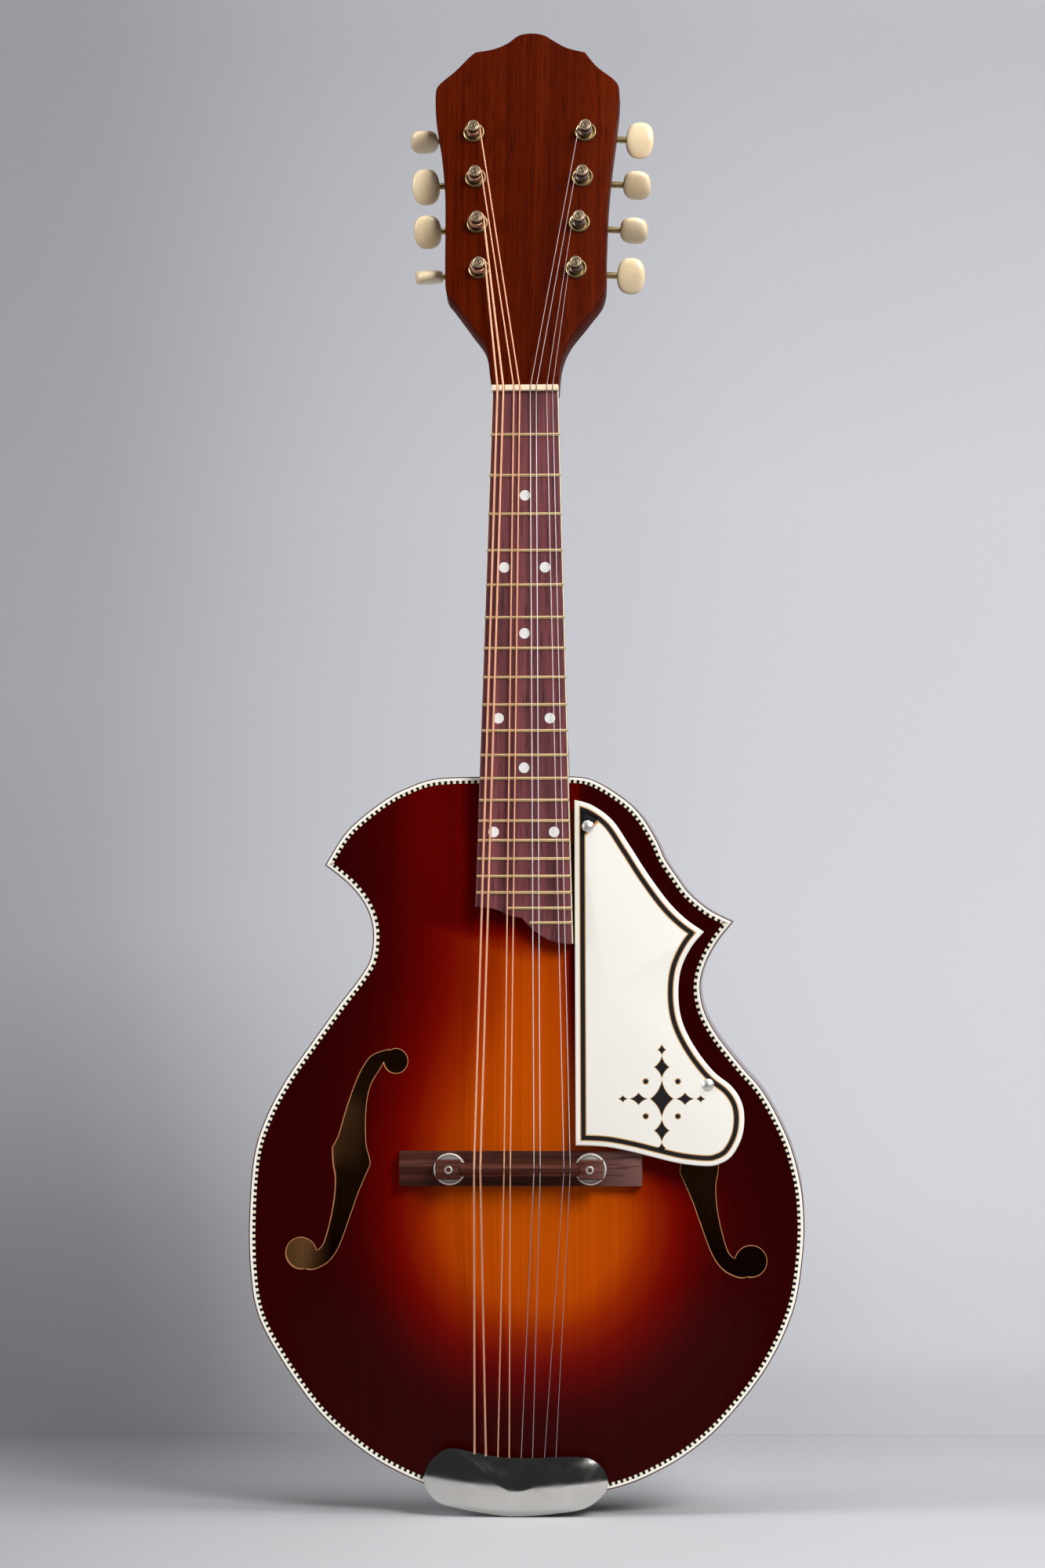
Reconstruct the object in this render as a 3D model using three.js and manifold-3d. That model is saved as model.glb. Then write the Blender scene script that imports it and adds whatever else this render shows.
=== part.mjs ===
// Two-point archtop mandolin with four pairs of strings.
// Millimetres. +Z runs up the neck, +X is the treble side, -Y is the front.
// The origin lies on the fretboard's face where it meets the nut, on the centre line.

import * as THREE from 'three';
import { mergeVertices } from 'three/addons/utils/BufferGeometryUtils.js';
import Module from 'manifold-3d';

const wasm = await Module();
wasm.setup();

// Whole instrument
const scaleLength = 352;
const neckPitch = THREE.MathUtils.degToRad(4.5);
const headPitch = THREE.MathUtils.degToRad(13);
const seatGap = 0.3;
const runningFit = 0.08;
const overrun = 3;

// Strings, from the lowest to the highest
const stringDiameters = [1.0, 1.0, 0.66, 0.66, 0.41, 0.41, 0.3, 0.3];
const woundStrings = 4;
const nutCourseSpacing = 7.4;
const nutPairSpacing = 2.7;
const saddleCourseSpacing = 13.4;
const saddlePairSpacing = 2.8;
const saddleCentre = -0.1;
const tailStringSpacing = 5.2;
const tailStringCentre = -4.6;
const nutAction = 1.35;
const twelfthFretAction = 2.4;
const stringsOverRim = 29;
const windingTurns = 2;
const windingClearance = 0.5;
const windingSteps = 12;
const stringSides = 6;

// Fretboard and nut
const boardThickness = 5;
const nutWidth = 30;
const boardEndWidth = 44.4;
const boardPastLastFret = 9.4;
const boardEndDrop = 17;
const nutLength = 3;
const nutRise = 2.3;
const fretCount = 20;
const fretWidth = 1.6;
const fretHeight = 1;
const fretTang = 1.2;
const boardEndShares = [[0, 0], [0.2, 0.07], [0.36, 0.24], [0.48, 0.3], [0.62, 0.66], [0.8, 0.92], [1, 1]];

// Neck, heel and head
const neckDepthAtNut = 14;
const neckDepthAtJoint = 17;
const heelDepth = 66;
const supportThickness = 2.4;
const supportWidth = 22;
const supportLength = 36;
const tenonWidth = 18;
const tenonLength = 13;
const tenonDepth = 16;
const heelShares = [[1, 1], [0.935, 0.94], [0.915, 0.72], [0.89, 0.42], [0.865, 0.2], [0.83, 0.05], [0.78, 0]];
const shaftShares = [[0.5, 0], [0.2, 0], [0, 0]];
const shaftPointsShares = [[1, 0], [0.97, 0.3], [0.82, 0.62], [0.5, 0.9], [0, 1]];
const headThickness = 15;
const headLength = 177;
const headWidth = 84;
const headBassShares = [[-0.181, 0], [-0.194, 0.027], [-0.223, 0.113], [-0.305, 0.174], [-0.396, 0.236],
  [-0.44, 0.267], [-0.45, 0.32], [-0.456, 0.507], [-0.467, 0.587], [-0.487, 0.668], [-0.515, 0.748],
  [-0.522, 0.828], [-0.502, 0.855], [-0.416, 0.893], [-0.338, 0.934], [-0.305, 0.947]];
const headTipShares = [[-0.305, 0.947], [-0.21, 0.955], [-0.13, 0.972], [-0.07, 0.994], [0, 1],
  [0.07, 0.994], [0.13, 0.976], [0.2, 0.957], [0.298, 0.944]];
const headTrebleShares = [[0.298, 0.944], [0.364, 0.903], [0.47, 0.859], [0.488, 0.821], [0.472, 0.721],
  [0.448, 0.614], [0.432, 0.507], [0.425, 0.378], [0.418, 0.267], [0.335, 0.201], [0.233, 0.133],
  [0.188, 0.072], [0.176, 0]];

// Tuning machines: two plates behind the head, each with four worms and wheels
const postSpacing = 22.8;
const firstPostHeight = 57.9;
const firstPostSpread = 22.2;
const stripTilt = THREE.MathUtils.degToRad(3);
const postsPerSide = 4;
const postRadius = 3;
const postRise = 8.5;
const bushingRadius = 4.9;
const bushingHeight = 1;
const stringHoleRadius = 0.9;
const wheelTeeth = 12;
const wheelPitchRadius = 4.4;
const wheelThickness = 3;
const wormPitchRadius = 2.2;
const toothAddendum = 0.5;
const toothDedendum = 0.7;
const toothShare = 0.34;
const pressureAngle = THREE.MathUtils.degToRad(20);
const threadTurns = 2.4;
const threadSteps = 8;
const wormShaftRadius = 1.5;
const wormDepth = 4.6;
const tunerPlateThickness = 1.2;
const tunerPlateWidth = 15;
const tunerPlateMargin = 11;
const earThickness = 1.6;
const earSpan = 7.8;
const earWidth = 5.2;
const earOverShaft = 1.2;
const buttonReach = 24;
const buttonLength = 12.8;
const buttonHeight = 17;
const buttonThickness = 6.4;
const buttonRoundness = 2.5;
const buttonRings = 4;
const buttonTurnsBass = [90, 30, 10, 60];
const buttonTurnsTreble = [10, 55, 45, 0];

// Body
const bodyLengthShare = 0.92244;
const bodyOverJoint = 1;
const bodyWidth = 250;
const bodyDepth = 45;
const plateEdge = 5;
const topRise = 12;
const backRise = 11;
const fullArchDepth = 66;
const bindingWidth = 3.6;
const sideThickness = 2.2;
const liningWidth = 5;
const liningHeight = 8;
const blockLength = 26;
const neckBlockWidth = 46;
const tailBlockWidth = 54;
const tailBlockLength = 15;
const spineShares = [0.33, 0.72];
const archShares = [0, 0.12, 0.28, 0.5, 0.78];
const innerArchShares = [0, 0.14, 0.48, 0.78];
const bassUpperShares = [[0, 0], [-0.17, 0], [-0.331, 0.003], [-0.433, 0.016], [-0.502, 0.03],
  [-0.593, 0.056], [-0.661, 0.082], [-0.727, 0.123]];
const bassLowerShares = [[-0.727, 0.123], [-0.643, 0.149], [-0.583, 0.178], [-0.555, 0.21], [-0.56, 0.249],
  [-0.595, 0.276], [-0.678, 0.318], [-0.778, 0.371], [-0.872, 0.423], [-0.943, 0.475], [-0.986, 0.528],
  [-1.003, 0.608], [-1, 0.685], [-0.972, 0.749], [-0.889, 0.81], [-0.764, 0.878], [-0.643, 0.922],
  [-0.493, 0.961], [-0.3, 0.99], [0, 1.003]];
const trebleLowerShares = [[0, 1.003], [0.3, 0.99], [0.493, 0.961], [0.643, 0.922], [0.764, 0.874],
  [0.881, 0.812], [0.967, 0.738], [1, 0.66], [1.002, 0.6], [0.985, 0.553], [0.943, 0.5], [0.861, 0.44],
  [0.778, 0.402], [0.693, 0.36], [0.645, 0.325], [0.631, 0.29], [0.651, 0.259], [0.694, 0.229],
  [0.75, 0.202]];
const trebleUpperShares = [[0.75, 0.202], [0.667, 0.186], [0.594, 0.163], [0.547, 0.139], [0.504, 0.114],
  [0.476, 0.09], [0.422, 0.056], [0.353, 0.03], [0.231, 0.003], [0.1, 0]];
const outlineSteps = [8, 22, 21, 9];

// Sound holes
const soundHoleLengthShare = 0.311;
const soundHoleWidthShare = 0.224;
const soundHoleSpreadShare = 0.3224;
const soundHoleDropShare = 0.531;
const trebleHoleDrop = 3.3;
const upperEyeRadius = 5.6;
const lowerEyeRadius = 7.2;
const upperEyeShares = [0.397, 0.437];
const lowerEyeShares = [-0.373, -0.423];
const soundHoleShares = [[0.346, 0.49], [0.201, 0.461], [0.114, 0.396], [0.041, 0.3], [-0.017, 0.202],
  [-0.068, 0.105], [-0.119, 0.05], [-0.111, -0.024], [-0.092, -0.089], [-0.104, -0.186],
  [-0.141, -0.291], [-0.191, -0.38], [-0.24, -0.41], [-0.3, -0.46], [-0.235, -0.492], [-0.147, -0.457],
  [-0.061, -0.388], [0.041, -0.235], [0.099, -0.145], [0.194, -0.024], [0.187, 0.008], [0.16, 0.065],
  [0.153, 0.17], [0.165, 0.267], [0.201, 0.34], [0.281, 0.414]];

// Tone bars
const toneBarWidth = 6;
const toneBarHeight = 9;
const toneBarLength = 190;
const toneBarSpread = 24;

// Bridge
const bridgeCentre = -1.5;
const bridgeBaseLength = 109;
const bridgeBaseWidth = 15.6;
const bridgeBaseHeight = 5.4;
const saddleLength = 73.4;
const saddleBlockLength = 11;
const saddleBlockWidth = 8.8;
const saddleBarWidth = 6;
const saddleCrestWidth = 2.2;
const saddleCrestHeight = 3;
const notchDepth = 0.8;
const thumbwheelRadius = 7.35;
const thumbwheelThickness = 2.2;
const knurlDepth = 0.3;
const knurlCount = 18;
const studSpacing = 63.2;
const studRadius = 1.85;
const studStand = 0.4;
const wheelLift = 1.5;

// Tailpiece
const tailCoverWidth = 85;
const tailCoverHeight = 29;
const tailCoverCentre = -4.2;
const tailCoverOverBottom = 8.6;
const tailCoverFront = 13;
const tailCoverReach = 16;
const tailCoverWall = 1;
const tailCoverShares = [[-0.48, -0.02], [-0.42, -0.3], [-0.3, -0.42], [-0.1, -0.52], [0.02, -0.54],
  [0.2, -0.5], [0.38, -0.4], [0.49, -0.12], [0.48, 0.14], [0.4, 0.32], [0.28, 0.35], [0.08, 0.33],
  [-0.1, 0.35], [-0.24, 0.42], [-0.36, 0.46], [-0.46, 0.25]];
const tailCoverDomeShares = [[0.6, 0], [0.84, 0.06], [0.95, 0.22], [1, 0.45]];
const tailPlateThickness = 1.2;
const tailPlateWidth = 50;
const tailPlateFrontLeg = 17;
const tailPlateBackLeg = 30;
const hookRadius = 0.9;
const hookHeight = 3.4;
const tailStringHeight = 7.6;
const hookSetback = 12;
const stringGateHeight = 1.6;

// Pickguard
const guardThickness = 2.5;
const guardBelowBoard = 3;
const guardUnderJoint = 9.4;
const guardWidthShare = 0.308;
const guardShortOfSaddle = 1.6;
const guardUpperScrewShares = [0.08, 0.073];
const guardLowerScrewShares = [0.782, 0.777];
const guardScrewRadius = 1.6;
const guardScrewHeadRadius = 2.7;
const guardScrewHeadHeight = 1.6;
const guardPostRadius = 4;
const cleatHeight = 2.6;
const cleatLength = 16;
const cleatMargin = 6;
const guardInnerShares = [[0.012, 0.942], [0, 0]];
const guardUpperShares = [[0, 0], [0.104, 0.015], [0.222, 0.056], [0.326, 0.127], [0.429, 0.202],
  [0.547, 0.277], [0.649, 0.325], [0.757, 0.361]];
const guardOuterShares = [[0.757, 0.361], [0.679, 0.406], [0.621, 0.468], [0.609, 0.542], [0.635, 0.61],
  [0.709, 0.678], [0.812, 0.74], [0.916, 0.78], [0.974, 0.821], [0.992, 0.869], [0.974, 0.923],
  [0.916, 0.971], [0.842, 0.992], [0.768, 0.997], [0.621, 0.99], [0.473, 0.974], [0.326, 0.957],
  [0.178, 0.945], [0.012, 0.942]];

// Finishes
const finish = {
  spruce: new THREE.MeshStandardMaterial({ color: 0xa83a10, roughness: 0.25, metalness: 0 }),
  backWood: new THREE.MeshStandardMaterial({ color: 0x5a1208, roughness: 0.25, metalness: 0 }),
  mahogany: new THREE.MeshStandardMaterial({ color: 0x64160a, roughness: 0.35, metalness: 0 }),
  rosewood: new THREE.MeshStandardMaterial({ color: 0x55302a, roughness: 0.5, metalness: 0 }),
  innerWood: new THREE.MeshStandardMaterial({ color: 0xb98a58, roughness: 0.8, metalness: 0 }),
  binding: new THREE.MeshStandardMaterial({ color: 0xeee8d2, roughness: 0.35, metalness: 0 }),
  ivory: new THREE.MeshStandardMaterial({ color: 0xf2f0e4, roughness: 0.3, metalness: 0 }),
  cream: new THREE.MeshStandardMaterial({ color: 0xf0dcbe, roughness: 0.35, metalness: 0 }),
  nickel: new THREE.MeshStandardMaterial({ color: 0xb9b9b6, roughness: 0.15, metalness: 1 }),
  brass: new THREE.MeshStandardMaterial({ color: 0x968250, roughness: 0.35, metalness: 1 }),
  bronze: new THREE.MeshStandardMaterial({ color: 0xc98a5a, roughness: 0.3, metalness: 1 }),
  steel: new THREE.MeshStandardMaterial({ color: 0xb4b4ba, roughness: 0.25, metalness: 1 }),
};

// Places that follow from the driving sizes
const neckFrame = new THREE.Matrix4().makeRotationX(-neckPitch);
const headInNeck = new THREE.Matrix4().makeTranslation(0, boardThickness, nutLength)
  .multiply(new THREE.Matrix4().makeRotationX(-headPitch));
const headFrame = neckFrame.clone().multiply(headInNeck);
const neckFromWorld = neckFrame.clone().invert();
const saddleAction = 2 * twelfthFretAction - nutAction;
const onNeck = (x, y, z) => new THREE.Vector3(x, y, z).applyMatrix4(neckFrame);
const onHead = (x, y, z) => new THREE.Vector3(x, y, z).applyMatrix4(headFrame);
const saddlePoint = onNeck(0, -saddleAction, -scaleLength);
const rimFront = saddlePoint.y + stringsOverRim;
const rimBack = rimFront + bodyDepth;
const bodyTop = onNeck(0, 0, -scaleLength / 2).z + bodyOverJoint;
const bodyLength = bodyLengthShare * scaleLength;
const fretDown = (number) => scaleLength * (1 - 2 ** (-number / 12));
const boardTrebleLength = fretDown(fretCount) + boardPastLastFret;
const boardBassLength = boardTrebleLength - boardEndDrop;
const boardHalf = (down) => THREE.MathUtils.lerp(nutWidth, boardEndWidth, down / boardTrebleLength) / 2;

const model = new THREE.Group();
const neckGroup = new THREE.Group();
const headGroup = new THREE.Group();
const bodyGroup = new THREE.Group();
neckGroup.rotation.x = -neckPitch;
headGroup.position.set(0, boardThickness, nutLength);
headGroup.rotation.x = -headPitch;
neckGroup.add(headGroup);
model.add(neckGroup, bodyGroup);

// Leaves only positions, merges shared corners, drops flat triangles and turns the faces outwards.
function closed(geometry) {
  geometry.deleteAttribute('normal');
  geometry.deleteAttribute('uv');
  const merged = mergeVertices(geometry, 1e-4);
  const at = merged.getAttribute('position');
  const corner = (i) => new THREE.Vector3().fromBufferAttribute(at, i);
  const kept = [];
  let volume = 0;
  for (let i = 0; i < merged.index.count; i += 3) {
    const [a, b, c] = [0, 1, 2].map((k) => merged.index.getX(i + k));
    if (a !== b && b !== c && c !== a) {
      kept.push(a, b, c);
      volume += corner(a).dot(corner(b).cross(corner(c)));
    }
  }
  merged.setIndex(volume < 0 ? kept.reverse() : kept);
  return merged;
}

function solid(geometry) {
  const shape = closed(geometry);
  return new wasm.Manifold(new wasm.Mesh({
    numProp: 3,
    vertProperties: Float32Array.from(shape.getAttribute('position').array),
    triVerts: Uint32Array.from(shape.index.array),
  }));
}

function surface(manifold) {
  const { vertProperties, triVerts } = manifold.getMesh();
  const geometry = new THREE.BufferGeometry();
  geometry.setAttribute('position', new THREE.BufferAttribute(vertProperties, 3));
  geometry.setIndex(new THREE.BufferAttribute(triVerts, 1));
  return geometry;
}

function add(group, name, shape, material) {
  const geometry = shape.isBufferGeometry ? closed(shape) : surface(shape);
  geometry.computeVertexNormals();
  const mesh = new THREE.Mesh(geometry, material);
  mesh.name = name;
  group.add(mesh);
  return mesh;
}

const flat = (points) => points.map(([x, y]) => new THREE.Vector2(x, y));

// A smooth curve through points, sampled evenly, without its last point.
function smooth(points, steps) {
  return new THREE.SplineCurve(points).getSpacedPoints(steps).slice(0, -1);
}

// An outline in x and z, carried from one depth y to another.
function prism(outline, fromY, toY, holes = []) {
  const shape = new THREE.Shape(outline);
  shape.holes = holes.map((hole) => new THREE.Path(hole));
  const geometry = new THREE.ExtrudeGeometry(shape, { depth: toY - fromY, bevelEnabled: false });
  return geometry.rotateX(Math.PI / 2).translate(0, toY, 0);
}

// An outline in x and y, carried from one height z to another.
function upright(outline, fromZ, toZ) {
  const shape = new THREE.Shape(outline);
  return new THREE.ExtrudeGeometry(shape, { depth: toZ - fromZ, bevelEnabled: false }).translate(0, 0, fromZ);
}

// An outline in y and z, carried across from one x to another.
function crosswise(outline, fromX, toX) {
  const shape = new THREE.Shape(outline);
  const geometry = new THREE.ExtrudeGeometry(shape, { depth: toX - fromX, bevelEnabled: false });
  const turn = new THREE.Matrix4().makeBasis(
    new THREE.Vector3(0, 1, 0), new THREE.Vector3(0, 0, 1), new THREE.Vector3(1, 0, 0));
  return geometry.applyMatrix4(turn).translate(fromX, 0, 0);
}

function box(fromX, toX, fromY, toY, fromZ, toZ) {
  return new THREE.BoxGeometry(toX - fromX, toY - fromY, toZ - fromZ)
    .translate((fromX + toX) / 2, (fromY + toY) / 2, (fromZ + toZ) / 2);
}

// A round bar along y whose flats, not its corners, lie at the given radius when it is a bore.
function rod(radius, fromY, toY, x, z, sides, isBore = false) {
  const cornerRadius = isBore ? radius / Math.cos(Math.PI / sides) : radius;
  return new THREE.CylinderGeometry(cornerRadius, cornerRadius, toY - fromY, sides)
    .translate(x, (fromY + toY) / 2, z);
}

// Outlines with equal counts of points joined one to the next across their shorter diagonals, with flat ends.
function loft(sections, place) {
  const count = sections[0].length;
  const points = sections.flatMap((section, k) => section.map((p) => place(p, k)));
  const index = [];
  for (let k = 0; k + 1 < sections.length; k += 1) {
    for (let i = 0; i < count; i += 1) {
      const a = k * count + i;
      const b = k * count + (i + 1) % count;
      const [c, d] = [b + count, a + count];
      const cutsShort = points[a].distanceTo(points[c]) < points[b].distanceTo(points[d]);
      index.push(...(cutsShort ? [a, b, c, a, c, d] : [a, b, d, b, c, d]));
    }
  }
  const start = THREE.ShapeUtils.triangulateShape(sections[0], []);
  const end = THREE.ShapeUtils.triangulateShape(sections.at(-1), []);
  const last = (sections.length - 1) * count;
  const turned = THREE.ShapeUtils.area(sections[0]) > 0;
  start.forEach(([a, b, c]) => index.push(...(turned ? [c, b, a] : [a, b, c])));
  end.forEach(([a, b, c]) => index.push(...(turned ? [a, b, c] : [c, b, a]).map((i) => last + i)));
  const geometry = new THREE.BufferGeometry();
  geometry.setFromPoints(points);
  geometry.setIndex(index);
  return geometry;
}

// A closed band: each loop is an outline in x and z at its own depth y, and the last joins the first.
function band(loops) {
  const count = loops[0].outline.length;
  const positions = loops.flatMap(({ outline, y }) => outline.flatMap((p) => [p.x, y, p.y]));
  const index = [];
  for (let k = 0; k < loops.length; k += 1) {
    const next = ((k + 1) % loops.length) * count;
    for (let i = 0; i < count; i += 1) {
      const j = (i + 1) % count;
      index.push(k * count + i, k * count + j, next + j, k * count + i, next + j, next + i);
    }
  }
  const geometry = new THREE.BufferGeometry();
  geometry.setAttribute('position', new THREE.Float32BufferAttribute(positions, 3));
  geometry.setIndex(index);
  return geometry;
}

// The outline moved inwards by a distance. Points that would cross at a corner slide to the nearest sound one.
function inset(outline, distance) {
  const count = outline.length;
  const moved = outline.map((p, i) => {
    const before = p.clone().sub(outline[(i + count - 1) % count]).normalize();
    const after = outline[(i + 1) % count].clone().sub(p).normalize();
    const across = before.clone().add(after).normalize();
    const stretch = 1 / Math.max(across.dot(after), 0.5);
    return new THREE.Vector2(-across.y, across.x).multiplyScalar(distance * stretch).add(p);
  });
  const clear = moved.map((p) => outline.every((q, i) => {
    const side = outline[(i + 1) % count].clone().sub(q);
    const along = THREE.MathUtils.clamp(p.clone().sub(q).dot(side) / side.lengthSq(), 0, 1);
    return p.distanceTo(q.clone().addScaledVector(side, along)) > Math.abs(distance) * 0.97;
  }));
  return moved.map((p, i) => {
    const reach = [...moved.keys()].find((k) => clear[(i + k) % count] || clear[(i - k + count) % count]);
    return clear[(i + reach) % count] ? moved[(i + reach) % count] : moved[(i - reach + count) % count];
  });
}

// Body outline, counter-clockwise in x and z
const bodyPlace = ([x, z]) => new THREE.Vector2(x * bodyWidth / 2, bodyTop - z * bodyLength);
const bodyOutline = [bassUpperShares, bassLowerShares, trebleLowerShares, [...trebleUpperShares, [0, 0]]]
  .flatMap((shares, i) => smooth(shares.map(bodyPlace), outlineSteps[i]));
const plateOutline = inset(bodyOutline, bindingWidth);
const [spineHigh, spineLow] = spineShares.map((share) => bodyPlace([0, share]).y);

// The outline drawn in towards the centre line by a share of the way.
function drawnIn(outline, share) {
  return outline.map((p) => new THREE.Vector2(
    p.x * (1 - share), THREE.MathUtils.lerp(p.y, THREE.MathUtils.clamp(p.y, spineLow, spineHigh), share)));
}

// How deep a place lies inside the outline: half the sum of ds / r^3 along its sides, to the power -1/2.
function depthInside(p) {
  const total = bodyOutline.reduce((sum, q, i) => {
    const next = bodyOutline[(i + 1) % bodyOutline.length];
    const run = next.clone().sub(q).normalize();
    const [from, to] = [q, next].map((end) => end.clone().sub(p).dot(run));
    const away = Math.max(Math.abs(q.clone().sub(p).cross(run)), seatGap / 2);
    return sum + (to / Math.hypot(to, away) - from / Math.hypot(from, away)) / away ** 2;
  }, 0);
  return Math.sqrt(2 / total);
}

// Loops drawn in by shares of the way and raised by the arch, which is level at the edge and where it is full.
function archLoft(outline, rings, rise) {
  const sections = rings.map(([share]) => drawnIn(outline, share));
  const raised = (p, share) => (
    share > 0 ? rise * THREE.MathUtils.smoothstep(depthInside(p), bindingWidth, fullArchDepth) : 0);
  return loft(sections, (p, k) => new THREE.Vector3(p.x, rings[k][1] + raised(p, rings[k][0]), p.y));
}

// An arched plate: its domed face, its edge, and the hollowed face behind.
function archedPlate(outline, faceY, innerY, rise) {
  const outer = archShares.toReversed().map((share) => [share, faceY]);
  const inner = innerArchShares.map((share) => [share, innerY]);
  return archLoft(outline, [...outer, ...inner], rise);
}

// Everything behind an arched face, as far back as a given depth.
function behindArch(outline, faceY, rise, backY, shares) {
  return archLoft(outline, [...shares.toReversed().map((share) => [share, faceY]), [0, backY]], rise);
}

// Sound holes: a stroke between two round eyes, cut right through the top
const soundHoleLength = soundHoleLengthShare * bodyLength;
const soundHoleWidth = soundHoleWidthShare * bodyWidth;
const soundHoleSpread = soundHoleSpreadShare * bodyWidth;
const soundHoleDrop = soundHoleDropShare * bodyLength;

function soundHole(side, drop) {
  const place = ([x, z]) => new THREE.Vector2(
    -side * (soundHoleSpread - x * soundHoleWidth), bodyTop - drop + z * soundHoleLength);
  const from = rimFront - topRise - overrun;
  const to = rimFront + plateEdge + overrun;
  const upper = place(upperEyeShares);
  const lower = place(lowerEyeShares);
  return solid(prism(soundHoleShares.map(place), from, to))
    .add(solid(rod(upperEyeRadius, from, to, upper.x, upper.y, 12)))
    .add(solid(rod(lowerEyeRadius, from, to, lower.x, lower.y, 12)));
}

function makeTop() {
  const plate = solid(archedPlate(plateOutline, rimFront, rimFront + plateEdge, -topRise));
  return plate.subtract(soundHole(1, soundHoleDrop)).subtract(soundHole(-1, soundHoleDrop + trebleHoleDrop));
}

function makeBinding(fromY, toY) {
  return band([{ outline: bodyOutline, y: fromY }, { outline: bodyOutline, y: toY },
    { outline: inset(bodyOutline, bindingWidth - seatGap), y: toY },
    { outline: inset(bodyOutline, bindingWidth - seatGap), y: fromY }]);
}

// Tenon of the neck, in the body's own frame
const tenonFront = rimFront + plateEdge + liningHeight + 2 * seatGap;
const tenonBox = (gap) => box(-tenonWidth / 2 - gap, tenonWidth / 2 + gap, tenonFront - gap,
  tenonFront + tenonDepth + gap, bodyTop - tenonLength - gap, bodyTop + overrun);

function makeSides() {
  const innerWall = inset(bodyOutline, sideThickness);
  const from = rimFront + plateEdge;
  const to = rimBack - plateEdge;
  const ring = band([{ outline: bodyOutline, y: from }, { outline: bodyOutline, y: to },
    { outline: innerWall, y: to }, { outline: innerWall, y: from }]);
  return solid(ring).subtract(solid(tenonBox(seatGap)));
}

function makeLining(seatY, toward) {
  const outer = inset(bodyOutline, sideThickness + seatGap);
  const inner = inset(bodyOutline, sideThickness + seatGap + liningWidth);
  return band([{ outline: outer, y: seatY }, { outline: outer, y: seatY + toward * liningHeight },
    { outline: inner, y: seatY }]);
}

function makeBlock(width, fromZ, toZ) {
  const from = rimFront + plateEdge + liningHeight + seatGap;
  const to = rimBack - plateEdge - liningHeight - seatGap;
  const inside = solid(prism(inset(bodyOutline, sideThickness + seatGap), from, to));
  return inside.intersect(solid(box(-width / 2, width / 2, from, to, fromZ, toZ)));
}

function makeToneBar(x) {
  const face = rimFront + plateEdge + seatGap;
  const under = solid(behindArch(plateOutline, face, -topRise, rimBack, innerArchShares));
  const centre = saddlePoint.z;
  const front = rimFront - topRise;
  return under.intersect(solid(box(x - toneBarWidth / 2, x + toneBarWidth / 2, front,
    front + plateEdge + toneBarHeight, centre - toneBarLength / 2, centre + toneBarLength / 2)));
}

const bodyBottom = bodyPlace([0, bassLowerShares.at(-1)[1]]).y;
add(bodyGroup, 'top_plate', makeTop(), finish.spruce);
add(bodyGroup, 'back_plate', archedPlate(plateOutline, rimBack, rimBack - plateEdge, backRise), finish.backWood);
add(bodyGroup, 'top_binding', makeBinding(rimFront, rimFront + plateEdge), finish.binding);
add(bodyGroup, 'back_binding', makeBinding(rimBack - plateEdge, rimBack), finish.binding);
add(bodyGroup, 'sides', makeSides(), finish.backWood);
add(bodyGroup, 'top_lining', makeLining(rimFront + plateEdge, 1), finish.innerWood);
add(bodyGroup, 'back_lining', makeLining(rimBack - plateEdge, -1), finish.innerWood);
add(bodyGroup, 'neck_block', makeBlock(neckBlockWidth, bodyTop - blockLength, bodyTop)
  .subtract(solid(tenonBox(seatGap))), finish.innerWood);
add(bodyGroup, 'tail_block', makeBlock(tailBlockWidth, bodyBottom, bodyBottom + tailBlockLength), finish.innerWood);
add(bodyGroup, 'tone_bar_bass', makeToneBar(-toneBarSpread), finish.innerWood);
add(bodyGroup, 'tone_bar_treble', makeToneBar(toneBarSpread), finish.innerWood);

// Neck: a D-shaped shaft that sweeps back into the heel, with the head, the tenon and the board's support
const neckTop = boardThickness + seatGap;
const jointDown = scaleLength / 2;
const shaftSections = [...heelShares, ...shaftShares];

function neckSection([downShare, heelShare]) {
  const down = downShare * jointDown;
  const shaftDepth = THREE.MathUtils.lerp(neckDepthAtNut, neckDepthAtJoint, downShare);
  const depth = THREE.MathUtils.lerp(shaftDepth, heelDepth, heelShare);
  const right = shaftPointsShares.map(([x, y]) => [x * boardHalf(down), neckTop + y * depth]);
  const left = right.slice(0, -1).reverse().map(([x, y]) => [-x, y]);
  return flat([...right, ...left]);
}

function makeHead() {
  const place = ([x, z]) => new THREE.Vector2(x * headWidth, z * headLength);
  const outline = [...smooth(headTrebleShares.toReversed().map(place), 18),
    ...smooth(headTipShares.toReversed().map(place), 14), ...smooth(headBassShares.toReversed().map(place), 20),
    place(headBassShares[0])];
  return prism(outline, 0, headThickness);
}

// Places of the posts on the head, in the head's frame
function postPlace(side, i) {
  const along = i * postSpacing;
  return new THREE.Vector2(
    side * (firstPostSpread + along * Math.sin(stripTilt)), firstPostHeight + along * Math.cos(stripTilt));
}
const postIndexes = [...Array(postsPerSide).keys()];
const postPlaces = [-1, 1].flatMap((side) => postIndexes.map((i) => postPlace(side, i)));

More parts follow.
